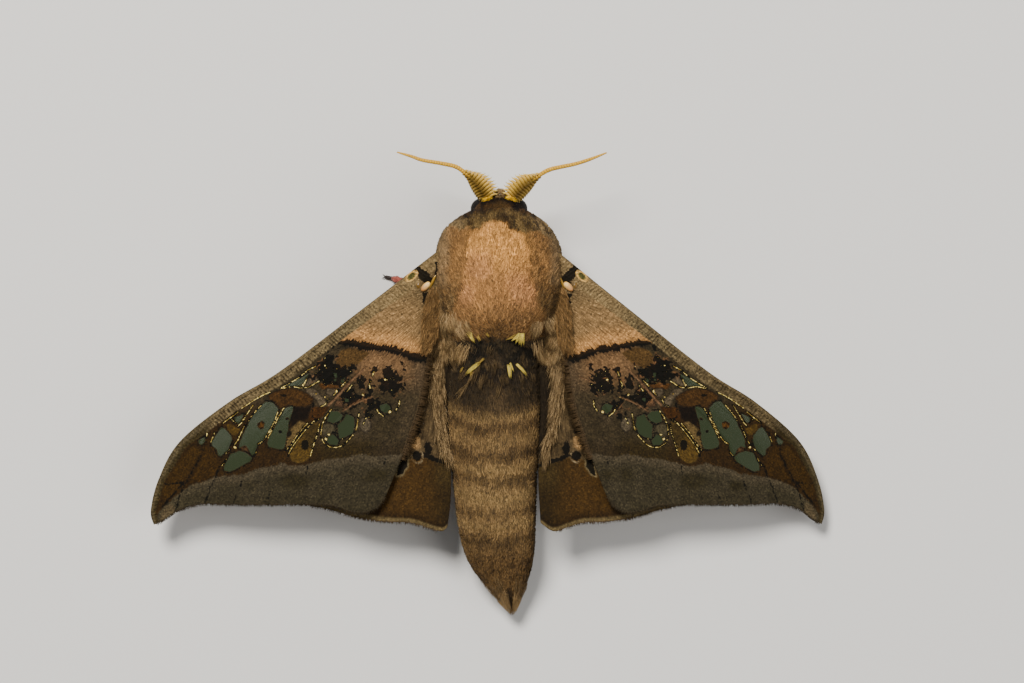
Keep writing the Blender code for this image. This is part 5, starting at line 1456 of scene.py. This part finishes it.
# Tubes: the legs, the antennae's shafts and the claws
def tube(path, radii, sides=16, steps=60, flatten=1.0):
    """A closed tube round a smooth path: its points, its faces and each point's share along it."""
    share = np.linspace(0, 1, steps)
    middle = along_curve(path, share)
    ahead = unit(np.gradient(middle, axis=0))
    side = unit(np.cross(ahead, (0.0, 0.0, 1.0)))
    rise = np.cross(side, ahead)
    radius = np.interp(share, np.linspace(0, 1, len(radii)), radii)[:, None, None]
    turn = np.linspace(0, 2 * math.pi, sides, endpoint=False)[None, :, None]
    rings = middle[:, None] + radius * (side[:, None] * np.cos(turn) - flatten * rise[:, None] * np.sin(turn))
    faces = ring_faces(steps, sides)[:, ::-1]
    caps = []
    start, end = steps * sides, steps * sides + 1
    for k in range(sides):
        after = (k + 1) % sides
        caps += [(start, after, k), (end, (steps - 1) * sides + k, (steps - 1) * sides + after)]
    ends = middle[:1] - ahead[:1] * radius[0, 0], middle[-1:] + ahead[-1:] * radius[-1, 0]
    points = np.concatenate([rings.reshape(-1, 3), *ends])
    shares = np.concatenate([np.repeat(share, sides), (0, 1)])
    return points, [tuple(f) for f in faces] + caps, shares


def joined(parts):
    """One set of points and faces from several, with a value for each point."""
    points, faces, values, start = [], [], [], 0
    for p, f, v in parts:
        points.append(p)
        faces += [tuple(int(i) + start for i in face) for face in f]
        values.append(np.broadcast_to(v, (len(p), 3)) if np.ndim(v) < 2 else v)
        start += len(p)
    return np.concatenate(points), faces, np.concatenate(values)


def ball(rows, columns, margin):
    """A ball 1 mm in radius with closed poles on X: its points and its faces."""
    lat = np.linspace(margin, math.pi - margin, rows)[:, None]
    lon = np.linspace(0, 2 * math.pi, columns, endpoint=False)[None, :]
    rings = np.stack([np.cos(lat) + 0 * lon, np.sin(lat) * np.cos(lon), np.sin(lat) * np.sin(lon)], -1)
    faces = [tuple(f) for f in ring_faces(rows, columns)[:, ::-1]]
    first, last, base = rows * columns, rows * columns + 1, (rows - 1) * columns
    for k in range(columns):
        after = (k + 1) % columns
        faces += [(after, k, first), (base + after, last, base + k)]
    return np.concatenate([rings.reshape(-1, 3), ((1, 0, 0), (-1, 0, 0))]), faces


# The eyes, and the place of the left one
EYE_RADIUS, EYE_PLACE = 1.0, (1.7, -16.75, 5.7)


def eye_material():
    made, n, shader = new_material("faceted eye", 0.5)
    place = n.add("ShaderNodeTexCoord")
    cells = n.add("ShaderNodeTexVoronoi",
                  {"Vector": place.outputs["Object"], "Scale": 15000.0, "Randomness": 0.25})
    cloud = n.add("ShaderNodeTexNoise", {"Vector": place.outputs["Object"], "Scale": 1400.0, "Detail": 2.0})
    edge = n.range(cells.outputs["Distance"], 0.25, 0.75)
    dark = n.mix(cloud.outputs["Fac"], (0.006, 0.005, 0.005, 1), (0.02, 0.014, 0.01, 1))
    n.link(n.mix(edge, dark, (0.003, 0.003, 0.003, 1)), shader.inputs["Base Color"])
    bump(n, shader, n.minus(1.0, edge), 0.4, 0.00003)
    shader.inputs["Specular IOR Level"].default_value = 0.08
    return made


eye_finish = eye_material()
for side_name, side in SIDES.items():
    points, faces = ball(34, 48, 0.06)
    centre = np.array((side * EYE_PLACE[0] - 0.15, *EYE_PLACE[1:]))
    eye = new_object("faceted_eye_" + side_name, points * EYE_RADIUS + centre, faces, eye_finish)
    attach(eye, "root")
    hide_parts("eye_" + side_name)


# The cream and orange lobes at the wings' roots
def egg_lobe(centre, axis, radii):
    """An egg-shaped lobe: its points, its faces and how far along its axis each point lies."""
    points, faces = ball(14, 18, 0.12)
    local = points * radii
    ahead = unit(np.asarray(axis, float))
    side = unit(np.cross((0.0, 0.0, 1.0), ahead))
    own_axes = np.stack([ahead, side, np.cross(ahead, side)])
    return np.asarray(centre) + local @ own_axes, faces, local[:, 0] / radii[0]


lobe_finish = marked_material("root lobe", 0.32, 5000.0, 0.12, coat=0.3)
LOBES = (
    # a chart place, its height over the wing, its axis, its radii, and its colours at both ends
    ((426.8, 287.0), 0.62, (0.68, 0.73, 0.0), (0.55, 0.3, 0.26), tone(172, 112, 58), tone(240, 196, 122)),
    ((429.0, 285.0), 0.66, (0.6, 0.8, 0.0), (0.3, 0.26, 0.24), tone(244, 204, 134), tone(236, 190, 110)),
    ((419.8, 286.0), 0.36, (-0.2, 1.0, 0.0), (0.32, 0.24, 0.14), tone(92, 66, 20), tone(112, 82, 28)),
    ((433.8, 282.5), 0.7, (0.42, 0.9, -0.2), (0.75, 0.13, 0.13), tone(104, 80, 27), tone(170, 130, 40)),
)
for side_name, side in SIDES.items():
    parts = []
    for (px, py), height, axis, radii, first, last in LOBES:
        x, y = from_chart(px, py)
        centre = wing_place(np.array(x), np.array(y), side, height)
        points, faces, along = egg_lobe(centre, np.array(axis) * (side, 1, 1), radii)
        parts.append((points, faces, blend(last, first, (along + 1) / 2)))
    points, faces, colours = joined(parts)
    lobe = new_object("wing_root_lobes_" + side_name, points, faces, lobe_finish, {"marks": colours})
    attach(lobe, "root")


# The antennae
ANTENNA_PATHS = {
    "left": ((0.79, -17.4, 7.0), (1.55, -18.6, 7.9), (2.4, -19.55, 8.3), (3.25, -20.2, 8.5), (4.0, -20.65, 8.6),
             (5.4, -20.95, 8.7), (7.1, -21.25, 8.6), (8.1, -21.6, 8.5), (9.45, -22.0, 8.3)),
    "right": ((-1.17, -17.4, 7.0), (-2.2, -18.55, 7.9), (-3.4, -19.45, 8.3), (-4.4, -20.1, 8.5), (-5.1, -20.4, 8.6),
              (-6.0, -20.6, 8.7), (-7.4, -20.9, 8.6), (-8.8, -21.35, 8.5), (-10.3, -21.95, 8.3)),
}
SHAFT_RADII = (0.17, 0.17, 0.17, 0.18, 0.2, 0.21, 0.2, 0.19, 0.18, 0.17, 0.13, 0.07)
SHAFT_RINGS = 44
COMB, RAMI = (0.035, 0.36), 12  # the comb's share of the antenna, and its teeth on each side
SIDE_BRISTLES, END_BRISTLES = 30, 14
RAMUS_REACH = (0.9, 1.15, 1.22, 1.2, 1.1, 0.85, 0.5, 0.3)
RAMUS_PATH = ((-0.12, 0.0, 0.0), (0.2, 0.06, 0.03), (0.55, 0.08, 0.04), (0.82, 0.0, 0.0), (1.0, -0.16, -0.04))


def make_ramus(hand):
    """One tooth of an antenna's comb, 1 mm long along +X, bent to one hand at its tip, with fine bristles."""
    path = np.array(RAMUS_PATH) * (1, hand, 1)
    points, faces, share = tube(path, (0.18, 0.2, 0.19, 0.14, 0.05), 8, 12, 1.2)
    rnd = np.random.default_rng(5)
    count = SIDE_BRISTLES + END_BRISTLES
    t = np.r_[np.linspace(0.1, 0.9, SIDE_BRISTLES), np.full(END_BRISTLES, 0.97)]
    side = np.where(np.arange(count) % 2 == 0, 1.0, -1.0)
    side[-END_BRISTLES:] = rnd.uniform(-0.5, 0.5, END_BRISTLES)
    roots = along_curve(path, t)
    forward = np.r_[np.full(SIDE_BRISTLES, 0.9), np.full(END_BRISTLES, 1.6)]
    directions = unit(np.stack([forward, side, rnd.uniform(-0.35, 0.35, count)], -1))
    hair, hair_faces, _ = strands(roots, directions, rnd.uniform(0.12, 0.22, count), np.full(count, 0.026),
                                  np.stack([np.full(count, 0.15), -0.15 * hand + 0 * t, 0 * t], -1), (0.0,))
    points, faces, _ = joined([(points, faces, 0), (hair, hair_faces, 0)])
    obj = new_object("ramus", points - BODY_SHIFT, faces, None)
    return obj, np.concatenate([share, np.repeat(t, 4)]), np.r_[np.zeros(len(share)), np.ones(4 * count)]


def row_tree():
    """Geometry nodes that set one piece on each point of a row, turned by the row's own fields."""
    tree = bpy.data.node_groups.new("pieces in a row", "GeometryNodeTree")
    for key, kind in (("Row", "Geometry"), ("Piece", "Object"), ("Finish", "Material")):
        tree.interface.new_socket(key, in_out="INPUT", socket_type="NodeSocket" + kind)
    tree.interface.new_socket("Pieces", in_out="OUTPUT", socket_type="NodeSocketGeometry")
    n = Nodes(tree)
    source, sink = tree.nodes.new("NodeGroupInput").outputs, tree.nodes.new("NodeGroupOutput")

    def field(name, kind="FLOAT_VECTOR"):
        return n.add("GeometryNodeInputNamedAttribute", {"Name": name}, data_type=kind).outputs[0]

    axes = n.add("FunctionNodeAxesToRotation", {"Primary Axis": field("ahead"), "Secondary Axis": field("rise")},
                 primary_axis="X", secondary_axis="Z")
    held = n.add("GeometryNodeObjectInfo", {"Object": source["Piece"]})
    spots = n.add("GeometryNodeMeshToPoints", {"Mesh": source["Row"]})
    copies = n.add("GeometryNodeInstanceOnPoints",
                   {"Points": spots.outputs[0], "Instance": held.outputs["Geometry"],
                    "Rotation": axes.outputs[0], "Scale": field("size")})
    real = n.add("GeometryNodeRealizeInstances", {0: copies.outputs[0]})
    done = n.add("GeometryNodeSetMaterial", {"Geometry": real.outputs[0], "Material": source["Finish"]})
    n.link(done.outputs[0], sink.inputs[0])
    return tree


antenna_finish = marked_material("antenna", 0.5, 9000.0, 0.2)
ROW = row_tree()
for side_name, side in SIDES.items():
    path = ANTENNA_PATHS[side_name]
    points, faces, share = tube(path, SHAFT_RADII, 14, 260)
    ringed = 1 + 0.09 * np.sin(share * 2 * math.pi * SHAFT_RINGS)
    middle = along_curve(path, share)
    points = middle + (points - middle) * ringed[:, None]
    gold = blend(tone(108, 86, 26), tone(206, 156, 36), smoothstep(0.28, 0.36, share))
    gold = blend(gold, tone(90, 70, 21), (np.sin(share * 2 * math.pi * SHAFT_RINGS) < -0.55) * 0.5)
    shaft = new_object("antenna_shaft_" + side_name, points, faces, antenna_finish, {"marks": gold})
    t = np.linspace(0, 1, RAMI)
    spots = along_curve(path, np.linspace(*COMB, RAMI))
    ahead = unit(np.gradient(spots, axis=0))
    inner = unit(np.cross(ahead, (0.0, 0.0, 1.0))) * side
    reach = np.interp(t, np.linspace(0, 1, len(RAMUS_REACH)), RAMUS_REACH)
    rows = []
    # The last number of each row is painted shade: the rear row, lying lower and behind, is darkened to seven tenths
    # of the front row's gold.
    for name, hand, way, scale, bright in (
            ("front", side, inner + ahead * 0.05 + np.array((0, 0, 0.2)), reach, 1.0),
            ("rear", -side, -inner * 0.75 + ahead * 0.1 + np.array((0, 0, -0.75)), reach * 0.85, 0.7)):
        ramus, ramus_along, bristle = make_ramus(hand)
        size = np.stack([scale, np.interp(t, (0, 0.6, 1), (1.0, 1.0, 0.75)), np.full(RAMI, 1.0)], -1)
        row = new_object(f"antenna_{name}_comb_{side_name}", spots + unit(way) * 0.08, np.zeros((0, 3), int),
                         antenna_finish, {},
                         {"ahead": unit(way), "rise": np.broadcast_to((0.0, 0.15, 1.0), way.shape), "size": size})
        comb = through_nodes(row, ROW, {"Piece": ramus, "Finish": antenna_finish})
        bpy.data.objects.remove(ramus)
        along = np.tile(ramus_along, RAMI)
        shades = blend(tone(106, 80, 26), tone(196, 158, 64), smoothstep(0.1, 0.7, along))
        pale = np.maximum(smoothstep(0.8, 1.0, along) * 0.8, np.tile(bristle, RAMI) * 0.35)
        shades = blend(shades, tone(222, 196, 116), pale)
        set_marks(comb.data, shades * bright)
        comb.data.shade_smooth()
        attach(comb, "root")
    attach(shaft, "root")
    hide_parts("antenna_" + side_name)
    ball_tuft("antenna_root_tuft_" + side_name, np.array(path[0]) + (side * 0.08, -0.12, 0.25),
              (0.3, 0.22, 0.25), 420, 0.34, 0.07, tone(221, 175, 22), (side * 0.25, -0.3, 0.9), 83 + side,
              antenna_finish)


# The legs: each path leads from the hip over the knee to the foot
LEG_RADII = (0.8, 0.74, 0.6, 0.42, 0.5, 0.4, 0.34, 0.28, 0.2)
LEG_PATHS = {
    "fore_left": ((1.9, -13.2, 1.8), (3.6, -12.6, 1.9), (6.0, -11.1, 3.1), (8.2, -9.8, 2.7), (9.8, -10.15, 1.7)),
    "fore_right": ((-1.9, -13.2, 1.8), (-3.5, -13.2, 1.9), (-5.6, -11.2, 3.1), (-6.6, -9.3, 2.4), (-7.4, -8.3, 1.2)),
    "mid_left": ((2.6, -9.0, 1.8), (4.4, -8.6, 2.0), (6.8, -6.6, 3.3), (8.6, -4.8, 2.5), (9.6, -3.8, 1.2)),
    "mid_right": ((-2.6, -9.0, 1.8), (-4.4, -8.4, 2.0), (-6.8, -6.2, 3.3), (-8.6, -4.2, 2.5), (-9.6, -3.2, 1.2)),
    "hind_left": ((2.4, -5.0, 1.8), (4.1, -4.0, 2.0), (6.4, -0.8, 3.3), (8.0, 2.4, 2.5), (8.9, 4.2, 1.2)),
    "hind_right": ((-2.4, -5.0, 1.8), (-4.1, -4.0, 2.0), (-6.4, -0.9, 3.3), (-7.8, 2.1, 2.5), (-8.6, 3.9, 1.2)),
}
FOOT_DIRECTIONS = {"fore_left": (0.95, -0.2), "fore_right": (-0.75, 0.65), "mid_left": (0.75, 0.65),
                   "mid_right": (-0.75, 0.65), "hind_left": (0.4, 0.92), "hind_right": (-0.4, 0.92)}
FOOT_Z = 0.2
FOOT_JOINTS = (0.75, 0.42, 0.36, 0.32, 0.45)  # the length of each joint of the foot
LEG_HAIRS = 480
FOOT_REACH = {"fore_left": 0.42}  # this foot is drawn in, and the others lie at their full length
leg_finish = marked_material("leg scales", 0.6, 6000.0, 0.3)
for leg_name, path in LEG_PATHS.items():
    ahead = unit(np.array((*FOOT_DIRECTIONS[leg_name], 0.0)))
    end = np.array(path[-1])
    rnd = np.random.default_rng(len(leg_name))
    parts = []
    hip = np.array(path[0]) * (0.85, 1, 1) + (0, 0, 2.0)
    limb = [hip] + [np.array(p) for p in path] + [np.array((*(end + ahead * 0.3)[:2], FOOT_Z + 0.26))]
    points, faces, share = tube(limb, LEG_RADII, 16, 80)
    red = blend(tone(120, 92, 70), tone(152, 74, 60), smoothstep(0.25, 0.45, share))
    red = blend(red, tone(96, 44, 38), smoothstep(0.82, 1.0, share))
    parts.append((points, faces, red))
    here = end + ahead * 0.25
    here[2] = FOOT_Z + 0.18
    for k, length in enumerate(FOOT_JOINTS):
        there = here + ahead * length * FOOT_REACH.get(leg_name, 1.0)
        there[2] = FOOT_Z + (0.06 if k == 0 else 0.0)
        joint = (here, (here + there) / 2 + (0, 0, 0.03), there)
        points, faces, _ = tube(joint, (0.13, 0.17, 0.16, 0.19, 0.12), 12, 10)
        parts.append((points, faces, tone(40, 30, 26)))
        here = there - ahead * 0.04
    across = np.cross(ahead, (0.0, 0.0, 1.0))
    for turn in (-1, 1):
        way = unit(ahead + across * turn * 0.55)
        claw = (here, here + way * 0.22 + (0, 0, 0.04), here + way * 0.42 + (0, 0, -0.12))
        points, faces, _ = tube(claw, (0.065, 0.05, 0.012), 8, 10)
        parts.append((points, faces, tone(24, 16, 12)))
    count = LEG_HAIRS
    t = rnd.uniform(0.12, 0.9, count)
    spots = along_curve(limb, t)
    way = unit(along_curve(limb, np.minimum(t + 0.02, 1)) - along_curve(limb, np.maximum(t - 0.02, 0)))
    out = unit(np.cross(way, rnd.normal(size=(count, 3))))
    radius = np.interp(t, np.linspace(0, 1, len(LEG_RADII)), LEG_RADII)
    length = np.interp(t, (0, 0.5, 0.9), (0.75, 0.6, 0.4)) * rnd.uniform(0.7, 1.3, count)
    hair, hair_faces, per = strands(spots + out * radius[:, None] * 0.85, unit(way + out * 0.45), length,
                                    np.full(count, 0.08), -out * 0.2, (0.0, 0.5))
    tint = blend(tone(150, 118, 90), tone(176, 92, 76), smoothstep(0.3, 0.5, t))
    tint = tint * rnd.uniform(0.6, 1.2, (count, 1))
    parts.append((hair, hair_faces, np.repeat(tint, per, 0)))
    points, faces, colours = joined(parts)
    leg = new_object("leg_scales_" + leg_name, points, faces, leg_finish, {"marks": colours})
    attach(leg, "root")
    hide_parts("leg_" + leg_name)


# The floor, the light and the camera
def plain_material(name, colour, roughness):
    made, _, shader = new_material(name, roughness)
    shader.inputs["Base Color"].default_value = (*colour, 1)
    return made


bpy.ops.mesh.primitive_plane_add(size=3)
floor = bpy.context.object
floor.name = "floor"
floor.data.materials.append(plain_material("pale floor", (0.74, 0.735, 0.72), 0.85))


def area_light(name, place, size, power, colour):
    data = bpy.data.lights.new(name, "AREA")
    data.color = colour
    data.shape = "DISK"
    data.size = size
    data.energy = power
    lamp = bpy.data.objects.new(name, data)
    lamp.location = place
    lamp.rotation_euler = Vector(place).to_track_quat("Z", "Y").to_euler()
    bpy.context.scene.collection.objects.link(lamp)


area_light("key", (0.16, -0.3, 0.5), 0.22, 5.8, (1.0, 0.96, 0.9))
area_light("fill", (-0.45, 0.1, 0.4), 0.5, 1.6, (1.0, 0.98, 0.95))
world = bpy.data.worlds.new("studio")
bpy.context.scene.world = world
world.use_nodes = True
world.node_tree.nodes["Background"].inputs["Color"].default_value = (0.98, 0.97, 0.96, 1)
world.node_tree.nodes["Background"].inputs["Strength"].default_value = 0.22

SENSOR, PICTURE_WIDTH = 36, 1024
camera_data = bpy.data.cameras.new("camera")
camera_data.sensor_width = SENSOR
camera_data.lens = SENSOR * CAMERA_HEIGHT / (PICTURE_WIDTH * CHART_STEP)
camera_data.clip_start = 0.01
camera = bpy.data.objects.new("camera", camera_data)
camera.location = to_world(((CHART_X - VIEW_CENTRE[0]) * CHART_STEP, (VIEW_CENTRE[1] - CHART_Y) * CHART_STEP,
                            WING_LEVEL + CAMERA_HEIGHT))
camera.rotation_euler = (0, 0, math.pi)
bpy.context.scene.collection.objects.link(camera)
bpy.context.scene.camera = camera
